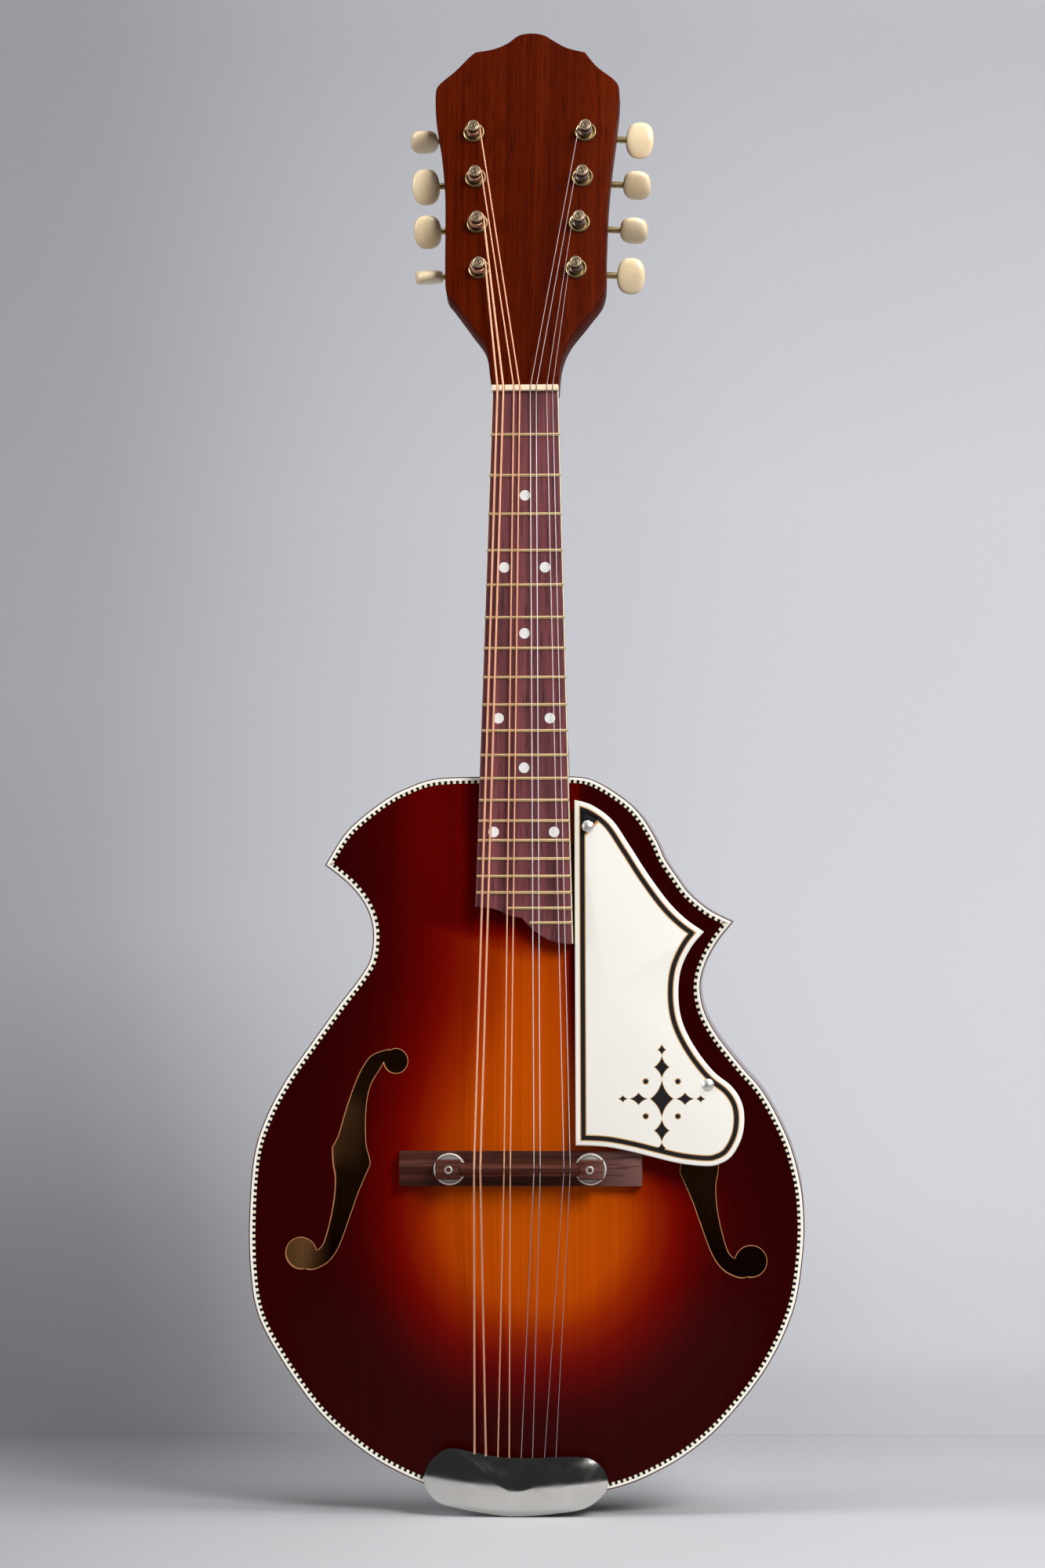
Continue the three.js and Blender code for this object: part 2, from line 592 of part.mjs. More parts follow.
function makeNeck() {
  const shaft = loft(shaftSections.map(neckSection), (p, k) => new THREE.Vector3(
    p.x, p.y, -shaftSections[k][0] * jointDown));
  const shoulder = upright(neckSection([0, 0]), -overrun, nutLength + overrun);
  const belowJoint = box(-bodyWidth, bodyWidth, -bodyDepth, bodyDepth * 2, bodyTop - bodyLength, bodyTop + seatGap);
  const bushings = postPlaces.map(({ x, y }) => rod(bushingRadius, -bushingHeight, headThickness / 2, x, y, 12));
  const bores = postPlaces.map(({ x, y }) => rod(
    postRadius + runningFit, -bushingHeight - overrun, headThickness + overrun, x, y, 10, true));
  const head = bushings.reduce((joined, bushing) => joined.add(solid(bushing)), solid(makeHead()));
  const bored = bores.reduce((cut, bore) => cut.subtract(solid(bore)), head);
  const headTurned = solid(surface(bored).applyMatrix4(headInNeck));
  const behindBack = box(-bodyWidth, bodyWidth, rimBack, rimBack + bodyDepth,
    bodyTop - heelDepth, bodyTop + heelDepth);
  const heel = [belowJoint, behindBack].reduce((cut, block) => cut.subtract(
    solid(block.applyMatrix4(neckFromWorld))), solid(shaft).add(solid(shoulder)));
  const tenon = solid(tenonBox(0).applyMatrix4(neckFromWorld));
  const supportEnd = -jointDown - supportLength;
  const support = solid(box(-supportWidth / 2, supportWidth / 2, neckTop, neckTop + supportThickness,
    supportEnd, -jointDown + overrun * 2));
  const [screwX, screwZ] = guardPlace(guardUpperScrewShares).toArray();
  const cleatTop = guardBelowBoard + guardThickness + seatGap;
  const cleat = solid(box(0, screwX + cleatMargin, cleatTop, cleatTop + cleatHeight,
    screwZ - cleatLength / 2, screwZ + cleatLength / 2));
  const screwBore = solid(rod(guardScrewRadius + runningFit, 0, neckTop + headThickness, screwX, screwZ, 8, true));
  return heel.add(headTurned).add(tenon).add(support).add(cleat.subtract(screwBore));
}

// Pickguard places, in the neck's frame
const guardInner = boardHalf(boardTrebleLength) + seatGap;
const guardTop = jointDown + guardUnderJoint;
const guardWidth = guardWidthShare * bodyWidth;
const guardLength = scaleLength - guardTop - guardShortOfSaddle;
function guardPlace([x, z]) {
  return new THREE.Vector2(guardInner + x * guardWidth, -guardTop - z * guardLength);
}

add(neckGroup, 'neck', makeNeck(), finish.mahogany);

// Fretboard: tapered plate with a shaped end, and frets trimmed to its outline
function makeFretboard() {
  const halfEnd = boardHalf(boardTrebleLength);
  const end = boardEndShares.map(([x, z]) => [(2 * x - 1) * halfEnd, -boardBassLength - z * boardEndDrop]);
  const outline = flat([[nutWidth / 2, 0], [-nutWidth / 2, 0], ...end]);
  const crown = fretWidth / 6;
  const fretShape = flat([[fretTang, -crown], [0, -fretWidth / 2], [-fretHeight, -crown], [-fretHeight, crown],
    [0, fretWidth / 2], [fretTang, crown]]);
  const downs = Array.from({ length: fretCount }, (_, i) => fretDown(i + 1));
  const fretted = downs.reduce((board, down) => board.add(
    solid(crosswise(fretShape, -boardEndWidth, boardEndWidth).translate(0, 0, -down))),
  solid(prism(outline, 0, boardThickness)));
  return fretted.intersect(solid(prism(outline, -fretHeight - overrun, boardThickness)));
}

add(neckGroup, 'fretboard', makeFretboard(), finish.rosewood);

// Strings: where each one crosses the nut and the saddle, and where it is hooked at the tail
const strings = stringDiameters.map((diameter, i) => {
  const course = Math.floor(i / 2) - 1.5;
  const pair = (i % 2) - 0.5;
  return {
    diameter,
    radius: diameter / 2,
    nutX: course * nutCourseSpacing + pair * nutPairSpacing,
    saddleX: saddleCentre + course * saddleCourseSpacing + pair * saddlePairSpacing,
    tailX: tailStringCentre + (i - (stringDiameters.length - 1) / 2) * tailStringSpacing,
    side: i < woundStrings ? -1 : 1,
    post: i < woundStrings ? i : stringDiameters.length - 1 - i,
  };
});

// A comb outline: level at its top but for a notch under each string
function notched(left, right, top, bottom, notches) {
  const dips = notches.flatMap(({ x, half, floor }) => [[x - half, top], [x - half, floor],
    [x + half, floor], [x + half, top]]);
  return flat([[left, bottom], [left, top], ...dips, [right, top], [right, bottom]]);
}

function makeNut() {
  const notches = strings.map(({ nutX, radius }) => (
    { x: nutX, half: radius + seatGap, floor: -nutAction + seatGap }));
  const outline = notched(-nutWidth / 2, nutWidth / 2, -nutRise, boardThickness, notches);
  return upright(outline, seatGap, nutLength - seatGap);
}

add(neckGroup, 'nut', makeNut(), finish.ivory);

// Bridge: a base shaped to the arch, two studs with thumbwheels, and the notched saddle on them
const saddleZ = saddlePoint.z;
const baseBack = rimFront - topRise - seatGap;
const baseFront = baseBack - bridgeBaseHeight;
const wheelFront = baseFront - wheelLift - thumbwheelThickness;
const saddleBack = wheelFront - seatGap;
const studPlaces = [-1, 1].map((side) => bridgeCentre + side * studSpacing / 2);
const studBore = (x) => solid(rod(studRadius + runningFit, rimFront - topRise * 3, rimFront + plateEdge,
  x, saddleZ, 12, true));

function makeBridgeBase() {
  const half = bridgeBaseLength / 2;
  const block = solid(box(bridgeCentre - half, bridgeCentre + half, baseFront, rimFront,
    saddleZ - bridgeBaseWidth / 2, saddleZ + bridgeBaseWidth / 2));
  const onTop = solid(behindArch(plateOutline, rimFront - seatGap, -topRise, rimBack, archShares));
  return studPlaces.reduce((cut, x) => cut.subtract(studBore(x)), block.subtract(onTop));
}

function makeSaddle() {
  const half = saddleLength / 2;
  const crestTop = saddlePoint.y - notchDepth;
  const notches = strings.map(({ saddleX, radius }) => (
    { x: saddleX, half: radius + seatGap, floor: saddlePoint.y + seatGap }));
  const inner = half - saddleBlockLength;
  const crest = upright(notched(bridgeCentre - inner, bridgeCentre + inner, crestTop, saddleBack, notches),
    saddleZ - saddleCrestWidth / 2, saddleZ + saddleCrestWidth / 2);
  const bar = box(bridgeCentre - half, bridgeCentre + half, crestTop + saddleCrestHeight, saddleBack,
    saddleZ - saddleBarWidth / 2, saddleZ + saddleBarWidth / 2);
  const blocks = [-1, 1].map((side) => {
    const [near, far] = [side * inner, side * half].sort((a, b) => a - b);
    return box(bridgeCentre + near, bridgeCentre + far, crestTop + notchDepth, saddleBack,
      saddleZ - saddleBlockWidth / 2, saddleZ + saddleBlockWidth / 2);
  });
  const joined = [bar, ...blocks].reduce((whole, piece) => whole.add(solid(piece)), solid(crest));
  return studPlaces.reduce((cut, x) => cut.subtract(studBore(x)), joined);
}

function makeThumbwheel(x) {
  const rim = Array.from({ length: knurlCount * 2 }, (_, i) => {
    const turn = i * Math.PI / knurlCount;
    const radius = thumbwheelRadius - (i % 2) * knurlDepth;
    return new THREE.Vector2(x + radius * Math.cos(turn), saddleZ + radius * Math.sin(turn));
  });
  return solid(prism(rim, wheelFront, wheelFront + thumbwheelThickness)).subtract(studBore(x));
}

add(bodyGroup, 'bridge_base', makeBridgeBase(), finish.rosewood);
add(bodyGroup, 'bridge_saddle', makeSaddle(), finish.rosewood);
['bass', 'treble'].forEach((name, i) => {
  const x = studPlaces[i];
  const stud = rod(studRadius, saddlePoint.y - studStand, baseBack - seatGap, x, saddleZ, 12);
  add(bodyGroup, `bridge_thumbwheel_${name}`, makeThumbwheel(x), finish.nickel);
  add(bodyGroup, `bridge_stud_${name}`, stud, finish.nickel);
});

// Tailpiece: a bent plate with eight hooks, under a pressed cover
const tailFront = rimFront - tailStringHeight;
const hookZ = bodyBottom + hookSetback;

function makeTailPlate() {
  const under = tailFront + hookHeight;
  const outside = bodyBottom - seatGap - tailPlateThickness;
  const back = rimFront + tailPlateBackLeg;
  const profile = flat([[under, bodyBottom + tailPlateFrontLeg], [under, outside], [back, outside],
    [back, outside + tailPlateThickness], [under + tailPlateThickness, outside + tailPlateThickness],
    [under + tailPlateThickness, bodyBottom + tailPlateFrontLeg]]);
  const half = tailPlateWidth / 2;
  const plate = solid(crosswise(profile, tailStringCentre - half, tailStringCentre + half));
  return strings.reduce((joined, { tailX }) => joined.add(
    solid(rod(hookRadius, tailFront - hookRadius, under + tailPlateThickness, tailX, hookZ, 6))), plate);
}

function makeTailCover() {
  const place = ([x, z]) => new THREE.Vector2(x * tailCoverWidth, z * tailCoverHeight);
  const outline = smooth([...tailCoverShares, tailCoverShares[0]].map(place), 28);
  const front = rimFront - tailCoverFront;
  const back = rimFront + tailCoverReach;
  const shell = (wall) => {
    const rings = [...tailCoverDomeShares.map(([share, depth]) => [share, front + wall + depth * tailCoverFront]),
      [1, wall > 0 ? back + overrun : back]];
    const sections = rings.map(([share]) => outline.map((p) => {
      const grown = p.clone().multiplyScalar(share);
      return grown.sub(p.clone().setLength(wall));
    }));
    return solid(loft(sections, (p, k) => new THREE.Vector3(
      tailCoverCentre + p.x, rings[k][1], bodyBottom + tailCoverOverBottom + p.y)));
  };
  const clearance = inset(bodyOutline, -seatGap);
  const underCover = solid(behindArch(clearance, rimFront - seatGap, -topRise, rimBack, archShares));
  const stringGate = solid(box(tailStringCentre - tailPlateWidth / 2, tailStringCentre + tailPlateWidth / 2,
    tailFront - stringGateHeight, rimFront, bodyBottom + tailPlateFrontLeg - tailCoverWall,
    bodyBottom + tailCoverHeight));
  return shell(0).subtract(shell(tailCoverWall)).subtract(underCover).subtract(stringGate);
}

add(bodyGroup, 'tailpiece_plate', makeTailPlate(), finish.nickel);
add(bodyGroup, 'tailpiece_cover', makeTailCover(), finish.nickel);

// Pickguard: a flat plate beside the strings, screwed to the neck's cleat and to a turned post
function makePickguard() {
  const sides = [guardUpperShares, guardOuterShares].map((shares) => shares.map(guardPlace));
  const outline = [...smooth(sides[0], 9), ...smooth(sides[1], 24), guardPlace(guardInnerShares[0])];
  const plate = solid(prism(outline, guardBelowBoard, guardBelowBoard + guardThickness));
  return [guardUpperScrewShares, guardLowerScrewShares].map(guardPlace).reduce((cut, { x, y }) => cut.subtract(
    solid(rod(guardScrewRadius + runningFit, 0, neckTop + overrun, x, y, 8, true))), plate);
}

function makeGuardScrew(shares, length) {
  const { x, y } = guardPlace(shares);
  const seat = guardBelowBoard - seatGap;
  const profile = [[0, seat - guardScrewHeadHeight], [guardScrewHeadRadius * 0.6, seat - guardScrewHeadHeight * 0.8],
    [guardScrewHeadRadius, seat - guardScrewHeadHeight * 0.2], [guardScrewHeadRadius, seat],
    [guardScrewRadius, seat], [guardScrewRadius, seat + length], [0, seat + length]];
  return new THREE.LatheGeometry(flat(profile), 12).translate(x, 0, y);
}

const lowerScrewPlace = guardPlace(guardLowerScrewShares);
const guardBack = guardBelowBoard + guardThickness + seatGap;
const guardPostReach = rimFront + stringsOverRim;

function makeGuardPost() {
  const { x, y } = lowerScrewPlace;
  const post = solid(rod(guardPostRadius, guardBack, guardBack + guardPostReach, x, y, 12));
  const onTop = behindArch(plateOutline, rimFront - seatGap, -topRise, rimBack, archShares);
  return post.subtract(solid(onTop.applyMatrix4(neckFromWorld))).subtract(
    solid(rod(guardScrewRadius + runningFit, 0, guardBack + guardPostReach + overrun, x, y, 8, true)));
}

add(neckGroup, 'pickguard', makePickguard(), finish.ivory);
add(neckGroup, 'pickguard_post', makeGuardPost(), finish.nickel);
add(neckGroup, 'pickguard_screw_upper', makeGuardScrew(guardUpperScrewShares,
  guardThickness + cleatHeight + seatGap), finish.nickel);
add(neckGroup, 'pickguard_screw_lower', makeGuardScrew(guardLowerScrewShares,
  guardThickness + guardPostRadius * 2), finish.nickel);

// Tuning machines
const wheelPitch = 2 * Math.PI * wheelPitchRadius / wheelTeeth;
const wormOffset = wheelPitchRadius + wormPitchRadius;
const plateFront = headThickness + seatGap;
const plateBack = plateFront + tunerPlateThickness;
const wormY = plateBack + wormDepth;
const toothHalf = wheelPitch * toothShare / 2;
const flankAt = (height) => toothHalf - height * Math.tan(pressureAngle);

// Wheel outline with straight flanks, turned a little from one face to the other to follow the thread
function makeWheel() {
  const outline = Array.from({ length: wheelTeeth }, (_, i) => {
    const middle = (i + 0.5) * 2 * Math.PI / wheelTeeth;
    return [[-toothDedendum, -1], [toothAddendum, -1], [toothAddendum, 1], [-toothDedendum, 1]].map(
      ([height, side]) => {
        const radius = wheelPitchRadius + height;
        const turn = middle + side * flankAt(height) / radius;
        return new THREE.Vector2(radius * Math.sin(turn), radius * Math.cos(turn));
      });
  }).flat();
  const lean = wheelPitch / (2 * Math.PI * wormPitchRadius) / wheelPitchRadius;
  const faces = [-1, 1].map((side) => side * wheelThickness / 2);
  const sections = faces.map((y) => outline.map((p) => p.clone().rotateAround(new THREE.Vector2(), -lean * y)));
  return loft(sections, (p, k) => new THREE.Vector3(p.x, wormY + faces[k], p.y));
}

function makePost() {
  const top = -postRise;
  const waist = postRadius * 0.88;
  const end = wormY + wheelThickness;
  const profile = flat([[0, top], [waist, top], [postRadius, top + postRadius / 6],
    [postRadius, end - postRadius / 6], [waist, end], [0, end]]);
  const hole = new THREE.CylinderGeometry(stringHoleRadius, stringHoleRadius, postRadius * 3, 6)
    .rotateX(Math.PI / 2).translate(0, top + stringHoleRadius * 2, 0);
  return solid(new THREE.LatheGeometry(profile, 10)).add(solid(makeWheel())).subtract(solid(hole));
}

// Thread of the worm, right-handed about x, which crosses the wheel's side at x = 0
function makeThread() {
  const root = wormShaftRadius * 0.8;
  const outer = wormPitchRadius + toothAddendum;
  const profile = [[-1, root], [-1, outer], [1, outer], [1, root]].map(([side, radius]) => (
    new THREE.Vector2(side * flankAt(radius - wormPitchRadius), radius)));
  const steps = Math.round(threadTurns * threadSteps);
  return loft(Array(steps + 1).fill(profile), (p, k) => {
    const turn = (k / steps - 0.5) * threadTurns * 2 * Math.PI;
    return new THREE.Vector3(
      p.x + wheelPitch * turn / (2 * Math.PI), p.y * Math.sin(turn), -p.y * Math.cos(turn));
  });
}

const shaftInner = earSpan / 2 + earThickness + seatGap;
const shaftOuter = buttonReach;
const shaftBetween = (side, from, to, radius, isBore) => {
  const low = Math.min(side * from, side * to);
  const high = Math.max(side * from, side * to);
  return rod(radius, low, high, 0, 0, 8, isBore).rotateZ(-Math.PI / 2);
};

function makeWorm(side) {
  return solid(makeThread()).add(solid(shaftBetween(-side, shaftInner, -shaftOuter, wormShaftRadius)));
}

function makeButton(side, turn) {
  const rim = Array.from({ length: buttonRings + 1 }, (_, i) => -Math.cos(Math.PI * i / buttonRings));
  const profile = rim.map((u) => new THREE.Vector2(
    Math.max(0, 1 - Math.abs(u) ** buttonRoundness) ** (1 / buttonRoundness), u));
  const lens = new THREE.LatheGeometry(profile, buttonRings * 2)
    .scale(buttonHeight / 2, buttonLength / 2, buttonThickness / 2).rotateZ(Math.PI / 2)
    .rotateX(Math.PI / 2 + THREE.MathUtils.degToRad(turn)).translate(side * buttonReach, 0, 0);
  const bore = shaftBetween(side, 0, shaftOuter + seatGap, wormShaftRadius + runningFit, true);
  return solid(lens).subtract(solid(bore));
}

// A plate with a pair of bored ears for each worm
function makeTunerPlate() {
  const last = (postsPerSide - 1) * postSpacing;
  const half = tunerPlateWidth / 2;
  const corner = half / 2;
  const low = -tunerPlateMargin;
  const high = last + wormOffset + tunerPlateMargin;
  const outline = flat([[-corner, low], [corner, low], [half, low + corner], [half, high - corner],
    [corner, high], [-corner, high], [-half, high - corner], [-half, low + corner]]);
  const plate = solid(prism(outline, plateFront, plateBack));
  const eared = postIndexes.reduce((joined, i) => {
    const z = i * postSpacing + wormOffset;
    const ears = [-1, 1].map((side) => side * (earSpan + earThickness) / 2).map((x) => solid(box(
      x - earThickness / 2, x + earThickness / 2, plateFront, wormY + wormShaftRadius + earOverShaft,
      z - earWidth / 2, z + earWidth / 2)));
    return joined.add(ears[0]).add(ears[1]);
  }, plate);
  return postIndexes.reduce((cut, i) => {
    const z = i * postSpacing;
    const postBore = rod(postRadius + runningFit, plateFront - overrun, plateBack + overrun, 0, z, 10, true);
    const wormBore = shaftBetween(1, -tunerPlateWidth, tunerPlateWidth, wormShaftRadius + runningFit, true)
      .translate(0, wormY, z + wormOffset);
    return cut.subtract(solid(postBore)).subtract(solid(wormBore));
  }, eared);
}

['bass', 'treble'].forEach((name, k) => {
  const side = k === 0 ? -1 : 1;
  const strip = new THREE.Group();
  strip.position.set(side * firstPostSpread, 0, firstPostHeight);
  strip.rotation.y = side * stripTilt;
  headGroup.add(strip);
  add(strip, `tuner_plate_${name}`, makeTunerPlate(), finish.brass);
  const turns = k === 0 ? buttonTurnsBass : buttonTurnsTreble;
  postIndexes.forEach((i) => {
    const z = i * postSpacing;
    add(strip, `tuner_post_${name}_${i + 1}`, makePost(), finish.brass).position.set(0, 0, z);
    const worm = add(strip, `tuner_worm_${name}_${i + 1}`, makeWorm(side), finish.brass);
    worm.position.set(0, wormY, z + wormOffset);
    const button = add(strip, `tuner_button_${name}_${i + 1}`, makeButton(side, turns[i]), finish.cream);
    button.position.copy(worm.position);
  });
});

// A curve that passes through its points with one step to each, so that long straights cost little
class Route extends THREE.Curve {
  constructor(points) {
    super();
    this.points = points;
  }

  getPointAt(u) {
    return this.points[Math.round(u * (this.points.length - 1))].clone();
  }

  getTangentAt(u) {
    const i = Math.round(u * (this.points.length - 1));
    const before = this.points[Math.max(i - 1, 0)];
    const after = this.points[Math.min(i + 1, this.points.length - 1)];
    return after.clone().sub(before).normalize();
  }
}

// Turns of a string round its post, in the head's frame, from where the straight string meets the post
function windingPoints({ nutX, radius, diameter, side, post }) {
  const centre = postPlace(side, post);
  const windingRadius = postRadius + radius + seatGap;
  const start = onNeck(nutX, -nutAction - radius, nutLength / 2).applyMatrix4(headFrame.clone().invert());
  const toward = new THREE.Vector2(start.x, start.z).sub(centre);
  const meeting = toward.angle() - side * Math.acos(windingRadius / toward.length());
  const steps = windingTurns * windingSteps;
  return Array.from({ length: steps + 1 }, (_, k) => {
    const turn = meeting - side * k * 2 * Math.PI / windingSteps;
    const y = start.y + k / windingSteps * (diameter + windingClearance);
    return new THREE.Vector3(
      centre.x + windingRadius * Math.cos(turn), y, centre.y + windingRadius * Math.sin(turn));
  });
}

function stringRoute(string) {
  const { radius, nutX, saddleX, tailX } = string;
  const winding = windingPoints(string).reverse().map((p) => p.applyMatrix4(headFrame));
  const nut = onNeck(nutX, -nutAction - radius, nutLength / 2);
  const saddle = onNeck(saddleX, -saddleAction - radius, -scaleLength);
  const tail = new THREE.Vector3(tailX, tailFront, hookZ + hookRadius + radius + seatGap);
  return [...winding, nut, saddle, tail];
}

// Least gap between turns of the same winding, measured on its points
function leastGap(points, diameter) {
  const apart = Math.floor(windingSteps * 0.75);
  const gaps = points.flatMap((p, i) => points.slice(i + apart).map((q) => p.distanceTo(q) - diameter));
  return Math.min(...gaps);
}

function makeString(string) {
  const section = new THREE.Shape(Array.from({ length: stringSides }, (_, i) => {
    const turn = i * 2 * Math.PI / stringSides;
    return new THREE.Vector2(Math.cos(turn), Math.sin(turn)).multiplyScalar(string.radius);
  }));
  const points = stringRoute(string);
  return new THREE.ExtrudeGeometry(section, {
    steps: points.length - 1, extrudePath: new Route(points), bevelEnabled: false,
  });
}

strings.forEach((string, i) => {
  add(bodyGroup, `string_${i + 1}`, makeString(string), i < woundStrings ? finish.bronze : finish.steel);
});
console.log('least gap between turns of a string, mm:',
  Math.min(...strings.map((string) => leastGap(windingPoints(string), string.diameter))).toFixed(2));

export default model;
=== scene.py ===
# Looks of the archtop mandolin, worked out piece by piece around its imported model.
# Sizes in this file are millimetres in the model's frame, and each mesh is made in metres.
import math

import bmesh
import bpy
import numpy as np
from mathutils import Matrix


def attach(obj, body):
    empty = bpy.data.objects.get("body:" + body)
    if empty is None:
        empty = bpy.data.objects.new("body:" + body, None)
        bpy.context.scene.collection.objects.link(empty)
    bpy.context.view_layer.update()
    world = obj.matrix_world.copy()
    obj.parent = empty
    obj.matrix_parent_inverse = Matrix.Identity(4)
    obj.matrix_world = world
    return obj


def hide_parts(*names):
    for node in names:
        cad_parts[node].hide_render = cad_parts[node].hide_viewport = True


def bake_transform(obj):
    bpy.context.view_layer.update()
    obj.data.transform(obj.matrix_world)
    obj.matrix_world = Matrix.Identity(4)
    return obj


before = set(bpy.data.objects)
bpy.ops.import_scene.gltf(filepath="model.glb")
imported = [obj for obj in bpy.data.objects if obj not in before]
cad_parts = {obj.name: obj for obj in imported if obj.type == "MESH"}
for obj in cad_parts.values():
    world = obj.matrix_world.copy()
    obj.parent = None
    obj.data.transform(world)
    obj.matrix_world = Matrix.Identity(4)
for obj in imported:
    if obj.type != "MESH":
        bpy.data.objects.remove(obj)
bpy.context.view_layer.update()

# Camera and studio. A long lens stands 2.6 m in front, a little to the treble side, and a
# pale floor sweeps up into a grey wall behind. A wide soft lamp lights it from the right.
camera_data = bpy.data.cameras.new("camera")
camera_data.sensor_fit = "VERTICAL"
camera_data.sensor_height = 36.0
camera_data.lens = 132.2
camera = bpy.data.objects.new("camera", camera_data)
camera.location = (0.1348, -2.6, -0.2218)
camera.rotation_euler = (math.radians(90.969), math.radians(0.063), math.radians(3.0))
bpy.context.scene.collection.objects.link(camera)
bpy.context.scene.camera = camera
bpy.context.scene.view_settings.view_transform = "Standard"


class Value:
    """A number in a material that can stand in a plain formula."""

    def __init__(self, paint, socket):
        self.paint, self.socket = paint, socket

    def maths(operation, swapped=False):
        """An operator that adds a Math node, with its terms swapped for the reflected form."""
        def work(self, *others):
            terms = (*others, self) if swapped else (self, *others)
            return self.paint.node("ShaderNodeMath", {"operation": operation}, *terms)
        return work

    __add__ = __radd__ = maths("ADD")
    __sub__, __rsub__ = maths("SUBTRACT"), maths("SUBTRACT", swapped=True)
    __mul__ = __rmul__ = maths("MULTIPLY")
    __mod__, __abs__ = maths("FLOORED_MODULO"), maths("ABSOLUTE")
    __lt__, __gt__ = maths("LESS_THAN"), maths("GREATER_THAN")

    def level(self, low, high, to_low=0.0, to_high=1.0):
        """Runs evenly from one level to another while the value runs from low to high."""
        return self.paint.node("ShaderNodeMapRange", {}, self, low, high, to_low, to_high)

    def ramp(self, stops):
        return self.paint.node("ShaderNodeValToRGB", {"stops": stops}, self)

    def mix(self, one, other):
        return self.paint.mix(self, one, other)

    def bump(self, strength, distance):
        return self.paint.node("ShaderNodeBump", {}, Strength=strength, Distance=distance, Height=self)


class Paint:
    """A material whose pattern is written as formulas on places of the surface."""

    def __init__(self, name, **sockets):
        self.material = bpy.data.materials.new(name)
        self.material.use_nodes = True
        self.tree = self.material.node_tree
        self.shader = self.tree.nodes["Principled BSDF"]
        self.finish(**sockets)

    def feed(self, node_socket, value):
        if isinstance(value, Value):
            self.tree.links.new(value.socket, node_socket)
        elif isinstance(value, tuple) and node_socket.type == "RGBA":
            node_socket.default_value = (*value, 1.0)
        else:
            node_socket.default_value = value

    def node(self, kind, settings, *inputs, out=0, **named):
        """Adds a node, makes its settings first, then fills its sockets by order or by name."""
        added = self.tree.nodes.new(kind)
        for key, setting in settings.items():
            if key == "stops":
                elements = added.color_ramp.elements
                while len(elements) < len(setting):
                    elements.new(0.5)
                for element, (place, colour) in zip(elements, setting):
                    element.position, element.color = place, (*colour, 1.0)
            else:
                setattr(added, key, setting)
        for socket, value in zip(added.inputs, inputs):
            if value is not None:
                self.feed(socket, value)
        for socket, value in named.items():
            self.feed(added.inputs[socket], value)
        return Value(self, added.outputs[out])

    def split(self, where, count):
        return [self.node("ShaderNodeSeparateXYZ", {}, where, out=k) for k in range(count)]

    def place(self):
        """The x, y and z of a point of the piece, in metres."""
        return self.split(self.node("ShaderNodeTexCoord", {}, out="Object"), 3)

    def along(self, name):
        """A number that the mesh carries at its points."""
        return self.node("ShaderNodeAttribute", {"attribute_name": name}, out="Fac")

    def at(self, x, y, z):
        return self.node("ShaderNodeCombineXYZ", {}, x, y, z)

    def noise(self, where, scale, detail=2.0, roughness=0.5, distortion=0.0):
        return self.node("ShaderNodeTexNoise", {}, Vector=where, Scale=scale, Detail=detail,
                         Roughness=roughness, Distortion=distortion, out="Fac")

    def cloud(self, scale, *settings):
        """A noise that is as fine along every axis."""
        return self.noise(self.at(*self.place()), scale, *settings)

    def streaks(self, scales, *settings):
        """A noise with a scale of its own along each axis."""
        spots = [place * scale for place, scale in zip(self.place(), scales)]
        return self.noise(self.at(*spots), 1.0, *settings)

    def mix(self, share, one, other, kind="MIX"):
        """Runs from one colour to another. The five sockets between are those for plain numbers."""
        return self.node("ShaderNodeMix", {"data_type": "RGBA", "blend_type": kind}, share, *[None] * 5,
                         one, other, out=2)

    def finish(self, **sockets):
        for socket, value in sockets.items():
            self.feed(self.shader.inputs[socket.replace("_", " ")], value)


def two_tone(name, noise, one, other, gloss=None, bump=None, **sockets):
    """A material whose colour, and its roughness or height if they are given, follow one noise."""
    paint = Paint(name, **sockets)
    cloud = paint.cloud(*noise)
    paint.finish(Base_Color=cloud.mix(one, other))
    if gloss:
        paint.finish(Roughness=cloud.level(*gloss))
    if bump:
        paint.finish(Normal=cloud.bump(*bump))
    return paint


def pored(paint, colour, pore, span, tone, bump):
    """Sinks dark pores into the colour and the face of a wood."""
    paint.finish(Base_Color=pore.level(*span).mix(colour, tone), Normal=pore.bump(*bump))


def xyz(x, y, z):
    """Places from their three numbers, each of which may be one number for all."""
    return np.stack(np.broadcast_arrays(x, y, z), axis=-1)


def full_turn(count):
    return np.linspace(0, 2 * np.pi, count, endpoint=False)


def unit(vectors):
    return vectors / np.linalg.norm(vectors, axis=1)[:, None]


def length_along(line):
    return np.concatenate([[0], np.cumsum(np.linalg.norm(np.diff(line, axis=0), axis=1))])


def blunt(wave, power):
    """A sine or cosine whose curve is made fuller, or with a power over 1 leaner."""
    return np.sign(wave) * np.abs(wave) ** power


